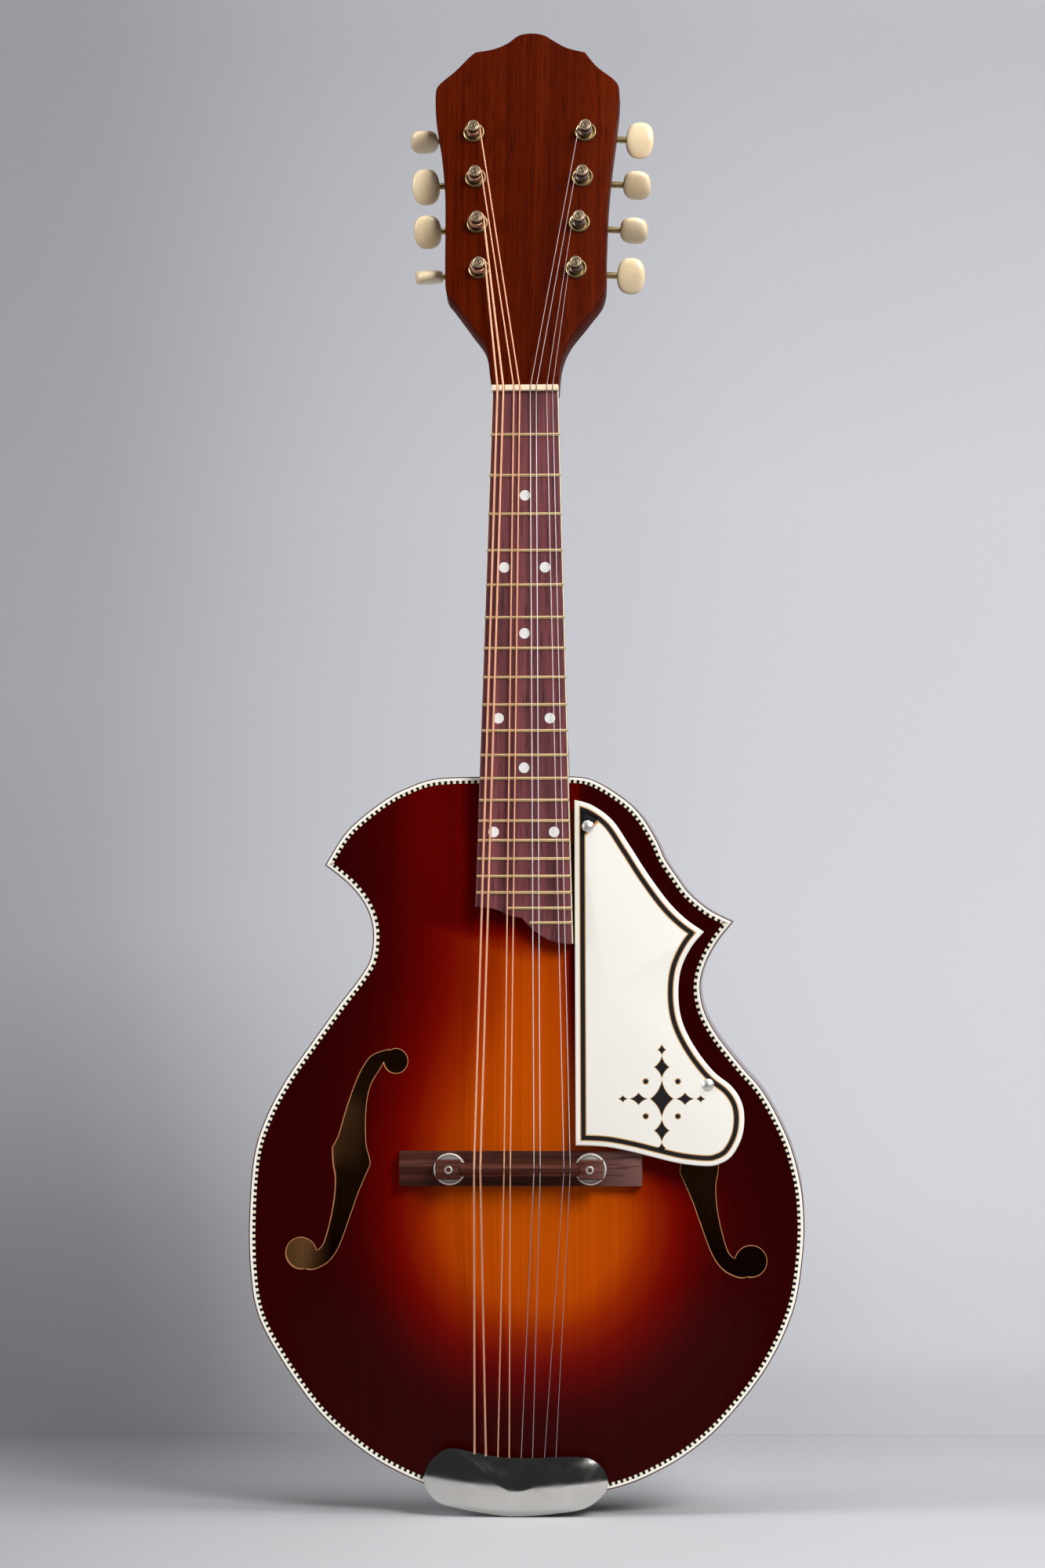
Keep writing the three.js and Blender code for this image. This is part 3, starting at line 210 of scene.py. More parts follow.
def curve_through(points, count):
    """A smooth curve through points, at even steps of its length.

    Each stretch is the cubic that leaves and meets its ends along the line between their
    neighbours: half of 2b + (c-a)t + (2a-5b+4c-d)t^2 + (3b-a-3c+d)t^3."""
    p = np.asarray(points, float)
    u = np.linspace(0, len(p) - 1, 60 * len(p))
    k = np.minimum(u.astype(int), len(p) - 2)
    t = (u - k)[:, None]
    a, b, c, d = (p[np.clip(k + shift, 0, len(p) - 1)] for shift in (-1, 0, 1, 2))
    line = 0.5 * (2 * b + (c - a) * t + (2 * a - 5 * b + 4 * c - d) * t**2
                  + (3 * b - a - 3 * c + d) * t**3)
    length = length_along(line)
    even = np.linspace(0, length[-1], count)
    return np.stack([np.interp(even, length, axis) for axis in line.T], axis=1)


def grid_piece(name, grid, paints, wrap_rows=False, wrap_columns=True, uv=None, paint_of_row=None,
               angle=38.0):
    """A surface over two parameters: a grid of points in rows, closed round its columns or rows.

    uv holds the surface's own coordinates, with one more row or column where the grid is closed.
    Points that fall together are joined, and edges sharper than the angle stay sharp."""
    rows, columns = grid.shape[:2]
    across = columns if wrap_columns else columns - 1
    i, j = np.divmod(np.arange((rows if wrap_rows else rows - 1) * across), across)
    below, right = (i + 1) % rows, (j + 1) % columns
    faces = [i * columns + j, i * columns + right, below * columns + right, below * columns + j]
    mesh = bpy.data.meshes.new(name)
    mesh.from_pydata((grid.reshape(-1, 3) * 0.001).tolist(), [], np.stack(faces, axis=1).tolist())
    if uv is not None:
        corners = np.stack([uv[i, j], uv[i, j + 1], uv[i + 1, j + 1], uv[i + 1, j]], axis=1)
        mesh.uv_layers.new(name="UVMap").data.foreach_set("uv", corners.astype(np.float32).ravel())
    if paint_of_row is not None:
        mesh.polygons.foreach_set("material_index", np.repeat(paint_of_row, across).astype(np.int32))
    shell = bmesh.new()
    shell.from_mesh(mesh)
    bmesh.ops.remove_doubles(shell, verts=shell.verts, dist=2e-7)
    bmesh.ops.recalc_face_normals(shell, faces=shell.faces)
    shell.to_mesh(mesh)
    shell.free()
    mesh.shade_smooth()
    mesh.set_sharp_from_angle(angle=math.radians(angle))
    for paint in paints if isinstance(paints, list) else [paints]:
        mesh.materials.append(paint.material)
    piece = bpy.data.objects.new(name, mesh)
    bpy.context.scene.collection.objects.link(piece)
    return piece


def capped(grid):
    """Closes a grid's first and last row, each to the middle of its points."""
    first, last = (np.broadcast_to(grid[k].mean(axis=0), grid[0].shape)[None] for k in (0, -1))
    return np.concatenate([first, grid, last])


def tube(path, radius, sides=12, lead=(0, 1, 0)):
    """A round wire along a path: at each point a circle stands square to the run of the path."""
    run = unit(np.gradient(path, axis=0))
    across = unit(np.cross(run, lead))
    up = np.cross(across, run)
    a = full_turn(sides)[None, :, None]
    return path[:, None] + radius * (across[:, None] * np.cos(a) + up[:, None] * np.sin(a))


def settle(piece, node, body="root"):
    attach(piece, body)
    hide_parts(node)


def add(name, grid, paint, node, slot, body="root", **shape):
    settle(grid_piece(name, grid, paint, **shape), node, body)


# The paper's colour carries painted light: darker on the left and lighter on the right, a painted shadow of
# the body low on the left, and painted shade on the floor in front.
wall_paint = Paint("studio_paper_painted_light", Roughness=0.9)
wall_x, wall_y, wall_z = wall_paint.place()
# Painted light across the paper from dark on the left to light on the right; low down the dark side reaches
# further right, where the body's shadow is painted.
beside = wall_x - wall_z.level(-0.50, -0.24, 0.11, 0.0)
shade = beside.level(-0.36, 0.125).ramp([(place, (tone,) * 3) for place, tone in (
    (0.0, 0.0), (0.10, 0.06), (0.20, 0.26), (0.30, 0.48), (0.40, 0.66), (0.50, 0.77), (0.56, 0.82),
    (0.75, 0.84), (0.90, 0.97), (1.0, 1.0))])
# Painted light up the height: on the left a painted shadow of the body near the floor, and on both sides the
# paper dims towards the top.
wall_height = wall_z.level(-0.508, 0.294)
left_paper_painted_shade = wall_height.ramp([(place, (tone, tone * 0.995, tone * 1.066)) for place, tone in (
    (0.0, 0.172), (0.04, 0.157), (0.11, 0.180), (0.19, 0.238), (0.31, 0.300), (0.50, 0.318),
    (0.65, 0.306), (0.85, 0.284), (1.0, 0.267))])
right_paper_painted_light = wall_height.ramp([(place, (tone, tone * 1.009, tone * 1.065)) for place, tone in (
    (0.0, 0.478), (0.04, 0.505), (0.11, 0.500), (0.50, 0.503), (0.65, 0.500), (0.85, 0.437),
    (1.0, 0.386))])
# The floor is painted darker on the left: a painted shadow of the body.
floor = wall_x.level(-0.22, -0.03).mix((0.405, 0.409, 0.425), (0.560, 0.566, 0.588))
paper = wall_y.level(-0.02, 0.36, 1.0, 0.0).mix(shade.mix(left_paper_painted_shade, right_paper_painted_light), floor)
# From 0.24 m in front of the body the floor is painted dark, near black past 0.55 m: painted shade in place
# of an unlit room, so the lacquer reflects dark.
wall_paint.finish(Base_Color=wall_y.level(-0.55, -0.24, 1.0, 0.0).mix(paper, (0.05, 0.05, 0.055)))
floor_z = -507.6
floor_grid = np.array([[(x, y, floor_z) for x in np.linspace(-4200, 4200, 9)]
                       for y in np.linspace(-3600, 3000, 9)])
grid_piece("studio_floor", floor_grid, wall_paint, wrap_columns=False, angle=180)
sweep = curve_through([(380, floor_z + 0.05), (480, -500), (600, -478), (760, -390), (900, -180),
                       (960, 200), (980, 900), (1000, 1500)], 90)
wall_grid = np.stack([np.insert(sweep, 0, x, axis=1) for x in np.linspace(-440, 360, 5)], axis=1)
grid_piece("studio_wall", wall_grid, wall_paint, wrap_columns=False, angle=180)


def lamp(name, size, power, place, aim, colour=(1, 1, 1)):
    data = bpy.data.lights.new(name, "AREA")
    data.shape = "RECTANGLE"
    data.size, data.size_y = size
    data.energy = power
    data.color = colour
    holder = bpy.data.objects.new(name, data)
    holder.location = place
    x, y, z = np.subtract(aim, place)
    holder.rotation_euler = (math.atan2(math.hypot(x, y), -z), 0, math.atan2(y, x) - math.pi / 2)
    bpy.context.scene.collection.objects.link(holder)


lamp("key", (0.8, 1.0), 53.0, (1.15, -1.95, 1.1), (0, 0, -0.2))
lamp("fill", (0.9, 1.5), 34.0, (-2.3, -0.75, 0.4), (0, 0, -0.1), (0.97, 0.98, 1.0))
lamp("top", (1.8, 0.9), 14.0, (0.1, -0.35, 1.9), (0, 0.1, -0.5))
lamp("wall_light", (1.4, 1.6), 22.0, (1.3, -0.2, 1.1), (0.6, 1.0, -0.1))
world = bpy.data.worlds.new("room")
bpy.context.scene.world = world
world.use_nodes = True
world.node_tree.nodes["Background"].inputs[0].default_value = (0.75, 0.77, 0.82, 1)
world.node_tree.nodes["Background"].inputs[1].default_value = 0.04

# Body outline. The sides, plates and bindings all follow one line round the two points of
# the body, and both plates are carved to the same arch.
neck_pitch = math.radians(4.5)
scale_length = 352.0
string_rise = 3.45
body_top = -174.47
body_length = 324.7
body_width = 250.0
body_depth = 45.0
plate_edge = 5.0
binding_width = 3.0
top_rise = 12.0
back_rise = 11.0
full_arch_depth = 66.0
flat_rim = 3.6
middle_low, middle_high = -410.0, -266.0
saddle_y = -string_rise * math.cos(neck_pitch) - scale_length * math.sin(neck_pitch)
saddle_z = string_rise * math.sin(neck_pitch) - scale_length * math.cos(neck_pitch)
rim_front = saddle_y + 29.0
rim_back = rim_front + body_depth
outline_runs = [
    [(0, 0), (-0.17, 0), (-0.331, 0.003), (-0.433, 0.016), (-0.502, 0.03), (-0.593, 0.056),
     (-0.661, 0.082), (-0.727, 0.123)],
    [(-0.727, 0.123), (-0.643, 0.149), (-0.583, 0.178), (-0.555, 0.21), (-0.56, 0.249), (-0.595, 0.276),
     (-0.678, 0.318), (-0.778, 0.371), (-0.872, 0.423), (-0.943, 0.475), (-0.986, 0.528), (-1.003, 0.608),
     (-1, 0.685), (-0.972, 0.749), (-0.889, 0.81), (-0.764, 0.878), (-0.643, 0.922), (-0.493, 0.961),
     (-0.3, 0.99), (0, 1.003)],
    [(0, 1.003), (0.3, 0.99), (0.493, 0.961), (0.643, 0.922), (0.764, 0.874), (0.881, 0.812),
     (0.967, 0.738), (1, 0.66), (1.002, 0.6), (0.985, 0.553), (0.943, 0.5), (0.861, 0.44), (0.778, 0.402),
     (0.693, 0.36), (0.645, 0.325), (0.631, 0.29), (0.651, 0.259), (0.694, 0.229), (0.75, 0.202)],
    [(0.75, 0.202), (0.667, 0.186), (0.594, 0.163), (0.547, 0.139), (0.504, 0.114), (0.476, 0.09),
     (0.422, 0.056), (0.353, 0.03), (0.231, 0.003), (0.1, 0), (0, 0)],
]


def joined(runs, counts, place):
    """A line of smooth runs that meet in corners, given as shares and set in place by a function."""
    return np.concatenate([curve_through(place(np.array(run, float)), count)[:-1]
                           for run, count in zip(runs, counts)])


outline = joined(outline_runs, (111, 291, 271, 131),
                 lambda shares: shares * (body_width / 2, -body_length) + (0, body_top))


def drawn_in(line, distance):
    """A closed line moved inwards by a distance, square to itself.

    Where points would cross in a sharp corner, each takes the place of the nearest one
    along the line that stays clear of it."""
    if distance < 1e-3:
        return line
    after = unit(np.roll(line, -1, axis=0) - line)
    across = unit(unit(line - np.roll(line, 1, axis=0)) + after)
    stretch = 1 / np.maximum((across * after).sum(axis=1), 0.5)
    moved = line + np.stack([-across[:, 1], across[:, 0]], axis=1) * (distance * stretch)[:, None]
    apart = np.linalg.norm(moved[:, None] - line[None], axis=2).min(axis=1)
    sound = np.flatnonzero(apart > distance * 0.985)
    gap = np.abs(np.arange(len(line))[:, None] - sound[None])
    return moved[sound[np.minimum(gap, len(line) - gap).argmin(axis=1)]]


def at_depth(line, y):
    """Sets a line of places across and up at a depth, which is one number or one for each point."""
    return xyz(line[:, 0], y, line[:, 1])


def section_round(line, section):
    """Carries a section round a line: each of its points says how far in and at what depth."""
    return np.stack([at_depth(drawn_in(line, inwards), y) for inwards, y in section])


def arch_height(x, z):
    """Share of the full arch at a place of a plate, from 0 at the rim to 1 along the middle.

    The depth into the plate is one over the root of half the sum of ds / r^3 over the rim, which
    is the plain distance near the rim and levels off in the middle. The share is a smooth step."""
    x, z = np.broadcast_arrays(x, z)
    rim = (outline + np.roll(outline, -1, axis=0)) / 2
    step = np.linalg.norm(np.roll(outline, -1, axis=0) - outline, axis=1)
    places = np.stack([np.ravel(x), np.ravel(z)], axis=1)
    depth = np.empty(len(places))
    for part in np.array_split(np.arange(len(places)), max(1, len(places) // 4000)):
        r2 = ((places[part, None] - rim[None]) ** 2).sum(axis=2)
        depth[part] = (0.5 * (step / np.maximum(r2, 1e-4) ** 1.5).sum(axis=1)) ** -0.5
    t = np.clip((depth - flat_rim) / (full_arch_depth - flat_rim), 0, 1)
    return (t * t * (3 - 2 * t)).reshape(x.shape)


def top_surface(x, z):
    return rim_front - top_rise * arch_height(x, z)


def middle_of(line):
    """The nearest places on the body's middle line."""
    return np.stack([np.zeros(len(line)), np.clip(line[:, 1], middle_low, middle_high)], axis=1)


# Back plate and top plate. Each is a carved board, 5 mm thick, set inside its binding: the
# top of spruce sprayed in a sunburst, the back stained dark red, both under gloss lacquer.
def grain_lines(paint, spacing, waver, across=0):
    """Fine lines along the piece: noise squeezed hard along the grain and stretched across."""
    places = paint.place()
    x, y, z = places
    wander = paint.noise(paint.at(x * 6.0, y * 6.0, z * 3.0), 3.0, 2.0) - 0.5
    side = (places[across] + wander * waver) * (1 / spacing)
    return paint.noise(paint.at(side, 0.0, z * 3.0), 1.0, 3.0, 0.55)


def fibres(paint, strength):
    return paint.streaks((260.0, 260.0, 9.0), 4.0, 0.6).bump(strength, 0.0003)


top_paint = Paint("sunburst_lacquer", Roughness=0.24, Specular_IOR_Level=0.02, Coat_Weight=0.05,
                  Coat_Roughness=0.05)
grain = grain_lines(top_paint, 0.0014, 0.004)
top_colour = (top_paint.along("burst") + (grain - 0.5) * 0.06).ramp([
    (0.0, (0.560, 0.088, 0.0010)), (0.15, (0.480, 0.061, 0.0008)), (0.33, (0.290, 0.018, 0.0006)),
    (0.46, (0.170, 0.0030, 0.0005)), (0.55, (0.115, 0.0010, 0.0005)), (0.72, (0.056, 0.0006, 0.0005)),
    (0.85, (0.037, 0.0005, 0.0006)), (1.0, (0.028, 0.0005, 0.0007))])
light_lines = grain.level(0.35, 0.7, 0.84, 1.10)
top_colour = top_paint.mix(1.0, top_colour, top_paint.at(light_lines, light_lines, light_lines), "MULTIPLY")
top_paint.finish(Base_Color=top_colour, Normal=top_paint.cloud(120.0, 2.0).bump(0.03, 0.0004))
# The bare spruce inside the body is painted far darker than spruce: painted shade for the inside of the body,
# as seen through the sound holes.
raw_paint_in_painted_shade = Paint("raw_spruce_in_painted_shade", Roughness=0.75)
raw_colour_in_painted_shade = grain_lines(raw_paint_in_painted_shade, 0.0012, 0.003).mix((0.27, 0.105, 0.024), (0.40, 0.18, 0.050))
raw_paint_in_painted_shade.finish(Base_Color=raw_colour_in_painted_shade, Normal=fibres(raw_paint_in_painted_shade, 0.25))
edge_paint = Paint("cut_spruce_edge", Roughness=0.6)
edge_lines = grain_lines(edge_paint, 0.0012, 0.003)
edge_paint.finish(Base_Color=edge_lines.mix((0.36, 0.12, 0.035), (0.62, 0.30, 0.12)))
back_paint = Paint("dark_red_lacquer", Roughness=0.22, Specular_IOR_Level=0.25, Coat_Weight=0.25,
                   Coat_Roughness=0.06)
flame = back_paint.streaks((14.0, 14.0, 75.0), 2.0, 0.5, 0.6).level(0.3, 0.75)
back_lines = grain_lines(back_paint, 0.0032, 0.02).level(0.3, 0.7, 0.0, 0.35)
back_colour = flame.mix((0.030, 0.003, 0.0025), (0.135, 0.014, 0.006))
back_paint.finish(Base_Color=back_lines.mix(back_colour, (0.02, 0.002, 0.002)),
                  Normal=fibres(back_paint, 0.04))


def arched_plate(name, face_y, rise, paint, thickness):
    """A domed board: rings of its face, then of its hollowed inner side, joined round the edge."""
    line = drawn_in(outline, binding_width)
    shares = np.concatenate([np.linspace(0, 0.12, 7), np.linspace(0.16, 1, 30)])
    rings = [line + (middle_of(line) - line) * share for share in shares]
    face = np.stack([at_depth(ring, face_y + rise * arch_height(*ring.T)) for ring in rings])
    grid = np.concatenate([face[::-1], face + (0, thickness, 0)])
    # The inner side is the darkened bare spruce, painted shade for the inside of the body.
    return grid_piece(name, grid, [paint, raw_paint_in_painted_shade], angle=50,
                      paint_of_row=[0] * len(face) + [1] * (len(face) - 1))


back = arched_plate("back_board", rim_back, back_rise, back_paint, -plate_edge)
settle(back, "back_plate")
top = arched_plate("top_board", rim_front, -top_rise, top_paint, plate_edge)

# Sound holes. Each is a long stroke between two round eyes, sawn through the top, and the
# cut edge shows the bare spruce.
hole_length = 101.0
hole_width = 56.0
hole_aside = 80.6
cut_start = -30.0
cut_depth = 45.0
worn_radius = 0.17
hole_shares = [(0.346, 0.49), (0.201, 0.461), (0.114, 0.396), (0.041, 0.3), (-0.017, 0.202),
               (-0.068, 0.105), (-0.119, 0.05), (-0.111, -0.024), (-0.092, -0.089), (-0.104, -0.186),
               (-0.141, -0.291), (-0.191, -0.38), (-0.24, -0.41), (-0.355, -0.49), (-0.3, -0.497),
               (-0.235, -0.487), (-0.147, -0.457), (-0.061, -0.388), (0.041, -0.235), (0.099, -0.145),
               (0.194, -0.024), (0.187, 0.008), (0.16, 0.065), (0.153, 0.17), (0.165, 0.267),
               (0.201, 0.34), (0.281, 0.414), (0.346, 0.49)]
hole_corners = [0, 6, 13, 20, 27]
eye_shares = [((0.397, 0.437), 5.6), ((-0.373, -0.423), 7.2)]


def cut(target, line):
    """Takes an upright prism over a closed line out of a piece."""
    front = at_depth(line, rim_front + cut_start)
    cutter = grid_piece("cutter", capped(np.stack([front, front + (0, cut_depth, 0)])), edge_paint)
    boolean = target.modifiers.new("cut", "BOOLEAN")
    boolean.operation = "DIFFERENCE"
    boolean.solver = "EXACT"
    boolean.material_mode = "TRANSFER"
    boolean.object = cutter
    bpy.context.view_layer.update()
    graph = bpy.context.evaluated_depsgraph_get()
    carved = bpy.data.meshes.new_from_object(target.evaluated_get(graph))
    target.modifiers.clear()
    target.data = carved
    bpy.data.objects.remove(cutter)


def circle(centre, radius, count=64):
    turn = full_turn(count)
    return np.stack([centre[0] + radius * np.cos(turn), centre[1] + radius * np.sin(turn)], axis=1)


def inside(points, line):
    """Whether points lie in a closed line: a ray to the right crosses it an odd number of times."""
    ends = np.roll(line, -1, axis=0)
    x, z = points[:, :1], points[:, 1:]
    crossed = (line[:, 1] > z) != (ends[:, 1] > z)
    meets = line[:, 0] + (z - line[:, 1]) / (ends[:, 1] - line[:, 1] + 1e-12) * (ends[:, 0] - line[:, 0])
    return (crossed & (x < meets)).sum(axis=1) % 2 == 1


def open_runs(line, keep):
    """The stretches of a closed line whose points are all kept."""
    first = np.flatnonzero(~keep)[0]
    line, keep = np.roll(line, -first, axis=0), np.roll(keep, -first)
    turns = np.flatnonzero(np.diff(np.append(keep, False).astype(int)))
    return [line[a + 1:b + 1] for a, b in zip(turns[::2], turns[1::2]) if b - a > 3]


for side, name, drop in ((-1, "bass", 172.4), (1, "treble", 175.7)):
    def on_hole(shares):
        return shares * (-side * hole_width, hole_length) + (side * hole_aside, body_top - drop)
    runs = [hole_shares[a:b + 1] for a, b in zip(hole_corners, hole_corners[1:])]
    stroke = joined(runs, [34] * len(runs), on_hole)
    cut(top, stroke)
    eyes = [(on_hole(np.array(share)), radius) for share, radius in eye_shares]
    clear = [np.linalg.norm(stroke - centre, axis=1) > radius for centre, radius in eyes]
    bare = open_runs(stroke, np.all(clear, axis=0))
    for centre, radius in eyes:
        eye = circle(centre, radius)
        cut(top, eye)
        bare += open_runs(eye, ~inside(eye, stroke))
    for number, run in enumerate(bare, 1):
        worn = tube(at_depth(run, top_surface(*run.T) + 0.06), worn_radius, 8)
        add(f"worn_edge_{name}_{number}", capped(worn), edge_paint, "top_plate", "spruce_top")

# The burst is a number at the top's points: how far out from its bright middle each lies.
top.data.set_sharp_from_angle(angle=math.radians(50))
spots = np.zeros(len(top.data.vertices) * 3)
top.data.vertices.foreach_get("co", spots)
spots = spots.reshape(-1, 3) * 1000
burst_x, burst_z = 5.8, -370
burst_reach = 110
upper_narrowing = 34
treble_edge, treble_fade, treble_narrowing = 16, 12, 45
shoulder_start, shoulder_fade, shoulder_shade = 105, 25, 0.59
up = spots[:, 2] - burst_z
aside = np.abs(spots[:, 0] - burst_x)
climb = np.clip(up / burst_reach, 0, 1)
narrowing = upper_narrowing * climb**2 * (3 - 2 * climb) * np.clip(1 - aside / burst_reach, 0.15, 1)
treble_side = np.clip((spots[:, 0] - treble_edge) / treble_fade, 0, 1) * climb * treble_narrowing
spread = np.where(up > 0, aside + narrowing + treble_side, np.hypot(aside, up / 1.1))
shades = np.interp(spread, [0, 28, 39, 51, 69, 80, 89, 105], [0, 0.08, 0.15, 0.33, 0.55, 0.72, 0.85, 1])
shades = np.maximum(shades, shoulder_shade * np.clip((up - shoulder_start) / shoulder_fade, 0, 1))
layer = top.data.attributes.new("burst", "FLOAT", "POINT")
layer.data.foreach_set("value", shades.astype(np.float32))
settle(top, "top_plate")

# Bindings. A cream plastic strip runs round the edge of the top, with a purfling of black and
# cream checks let in beside it. The back has the plain strip alone.
check_length = 2.74
check_depth = 1.4
glue_gap = 0.05
uv_width = 10
white_width = (binding_width - check_depth) / uv_width
binding_paint = Paint("cream_and_black_binding", Roughness=0.32, Specular_IOR_Level=0.15, Coat_Weight=0.05,
                      Coat_Roughness=0.1)
strip_u, strip_v = binding_paint.split(binding_paint.node("ShaderNodeUVMap", {}), 2)
dark = ((strip_u % 1.0) < 0.5) * (strip_v > white_width)
cream = binding_paint.cloud(30.0, 3.0).mix((0.94, 0.92, 0.86), (0.89, 0.86, 0.75))
cream = ((strip_v > white_width) * 0.35).mix(cream, (0.78, 0.60, 0.24))
binding_paint.finish(Base_Color=dark.mix(cream, (0.006, 0.004, 0.004)))
plain_binding = two_tone("cream_binding", (30.0, 3.0), (0.86, 0.80, 0.62), (0.78, 0.70, 0.48),
                         Roughness=0.28, Coat_Weight=0.5, Coat_Roughness=0.08)


def edge_strip(name, face_y, inward, paint, node):
    """A strip round the outline: its section is carried round, drawn in and set back in steps."""
    inner_side = binding_width - glue_gap
    section = [(0.4, plate_edge), (0.4, 0.9), (0.46, 0.4), (0.62, 0.1), (0.9, 0),
               (binding_width - check_depth, 0), (inner_side, 0), (inner_side, plate_edge)]
    length = length_along(np.append(outline, outline[:1], axis=0))
    u = length / length[-1] * round(length[-1] / check_length)
    v = np.array([inwards for inwards, _ in section] + [0]) / uv_width
    uv = np.stack(np.meshgrid(u, v), axis=2)
    uv[-2:, :, 1] = 0
    grid = section_round(outline, [(inwards, face_y + inward * y) for inwards, y in section])
    add(name, grid, paint, node, "binding", wrap_rows=True, uv=uv, angle=50)


edge_strip("top_edge_binding", rim_front, 1, binding_paint, "top_binding")
edge_strip("back_edge_binding", rim_back, -1, plain_binding, "back_binding")

# Sides, linings, blocks and tone bars. The sides are thin maple bent with heat, glued to solid
# blocks at the neck and tail and to strips of lining under both plates.
side_thickness = 2.2
rebate = 0.39
under_binding = 0.5
side_paint = Paint("side_lacquer", Roughness=0.2, Specular_IOR_Level=0.25, Coat_Weight=0.25,
                   Coat_Roughness=0.05)
side_lines = grain_lines(side_paint, 0.002, 0.01, across=1).level(0.3, 0.7)
side_paint.finish(Base_Color=side_lines.mix((0.11, 0.012, 0.006), (0.055, 0.005, 0.004)),
                  Normal=fibres(side_paint, 0.03))
front_face, back_face = rim_front + under_binding, rim_back - under_binding
front_step, back_step = rim_front + plate_edge, rim_back - plate_edge
ring = section_round(outline, [(0, front_face), (0, back_face), (rebate, back_face), (rebate, back_step),
                               (side_thickness, back_step), (side_thickness, front_step),
                               (rebate, front_step), (rebate, front_face)])
# The inner face of the sides is the darkened bare spruce, painted shade inside the body.
add("bent_sides", ring, [side_paint, raw_paint_in_painted_shade], "sides", "finished_wood", wrap_rows=True,
    paint_of_row=[0, 0, 0, 0, 1, 0, 0, 0], angle=50)
# Linings, blocks and tone bars take the darkened bare spruce too: painted shade inside the body.
for node in ("top_lining", "back_lining", "neck_block", "tail_block", "tone_bar_bass", "tone_bar_treble"):
    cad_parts[node].data.materials.clear()
    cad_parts[node].data.materials.append(raw_paint_in_painted_shade.material)

# Neck and head, one piece of mahogany under thin red brown lacquer. The back of the neck is a
# round D that sweeps out into the heel, and the head tips back by 13 degrees behind the nut.
head_pitch = math.radians(13.0)
board_thickness = 5.0
nut_length = 3.0
nut_width = 30.0
board_end_width = 44.4
board_length = 250.5
joint_down = scale_length / 2
heel_depth = 66
neck_depth, neck_depth_gain = 14, 3
under_board = 0.3
head_length = 177.0
head_width = 84.0
head_thickness = 15.0


def tipped(points, angle):
    """Turns places about the x axis: y' = y cos + z sin, z' = z cos - y sin."""
    x, y, z = np.moveaxis(np.asarray(points, float), -1, 0)
    c, s = math.cos(angle), math.sin(angle)
    return xyz(x, y * c + z * s, z * c - y * s)


def from_neck(points):
    """Turns places in the neck's frame back by its pitch."""
    return tipped(points, neck_pitch)


def from_head(points):
    """Tips places on the head back by its own pitch, sets them behind the nut, then on the neck."""
    return from_neck(tipped(points, head_pitch) + (0, board_thickness, nut_length))


def board_half(down):
    return (nut_width + (board_end_width - nut_width) * down / board_length) / 2


neck_paint = Paint("red_brown_mahogany", Roughness=0.40, Specular_IOR_Level=0.02, Coat_Weight=0.01,
                   Coat_Roughness=0.15)
streak = neck_paint.streaks((620.0, 12.0, 7.0), 3.0, 0.6, 0.1)
pore = neck_paint.streaks((1700.0, 40.0, 70.0), 2.0)
broad = neck_paint.streaks((45.0, 6.0, 3.0), 3.0)
neck_colour = (streak * 0.55 + broad * 0.45).ramp([
    (0.30, (0.047, 0.0032, 0.0003)), (0.46, (0.070, 0.0056, 0.0003)), (0.58, (0.088, 0.0080, 0.0003)),
    (0.74, (0.120, 0.0135, 0.0004))])
pored(neck_paint, neck_colour, pore, (0.56, 0.68, 0.0, 0.75), (0.024, 0.0016, 0.0004), (0.10, 0.00025))


def add_neck(name, grid, angle):
    add(name, grid, neck_paint, "neck", "mahogany", angle=angle)


heel_curve = curve_through([(1.0, 1.0), (0.935, 0.94), (0.915, 0.72), (0.89, 0.42), (0.865, 0.2),
                            (0.83, 0.05), (0.78, 0.0), (0.70, 0.0)], 60)
downs = np.concatenate([heel_curve[:, 0], np.linspace(0.66, -0.045, 40)]) * joint_down
heels = np.concatenate([np.clip(heel_curve[:, 1], 0, 1), np.zeros(40)])
turn = np.linspace(0, np.pi, 41)
around = blunt(np.cos(turn), 0.72)
depths = neck_depth + neck_depth_gain * np.clip(downs / joint_down, 0, 1)
depths = depths + (heel_depth - depths) * heels
shaft = from_neck(xyz(around * board_half(np.maximum(downs, 0))[:, None],
                      board_thickness + under_board + np.sin(turn) * depths[:, None], -downs[:, None]))
shaft[..., 1] = np.minimum(shaft[..., 1], rim_back)
shaft[..., 2] = np.maximum(shaft[..., 2], body_top + 0.3)
add_neck("neck_shaft", capped(shaft), 55)

head_runs = [
    [(0.176, 0), (0.188, 0.072), (0.233, 0.133), (0.335, 0.201), (0.418, 0.267), (0.425, 0.378),
     (0.432, 0.507), (0.448, 0.614), (0.472, 0.721), (0.488, 0.821), (0.47, 0.859), (0.364, 0.903),
     (0.298, 0.944)],
    [(0.298, 0.944), (0.2, 0.957), (0.13, 0.976), (0.07, 0.994), (0, 1), (-0.07, 0.994), (-0.13, 0.972),
     (-0.21, 0.955), (-0.305, 0.947)],
    [(-0.305, 0.947), (-0.338, 0.934), (-0.416, 0.893), (-0.502, 0.855), (-0.522, 0.828), (-0.515, 0.748),
     (-0.487, 0.668), (-0.467, 0.587), (-0.456, 0.507), (-0.45, 0.32), (-0.44, 0.267), (-0.396, 0.236),
     (-0.305, 0.174), (-0.223, 0.113), (-0.194, 0.027), (-0.181, 0)],
]


def on_head(shares):
    return shares * (head_width, head_length)


head_line = np.concatenate([joined(head_runs, (120, 90, 130), on_head),
                            on_head(np.array(head_runs[-1][-1:]))])


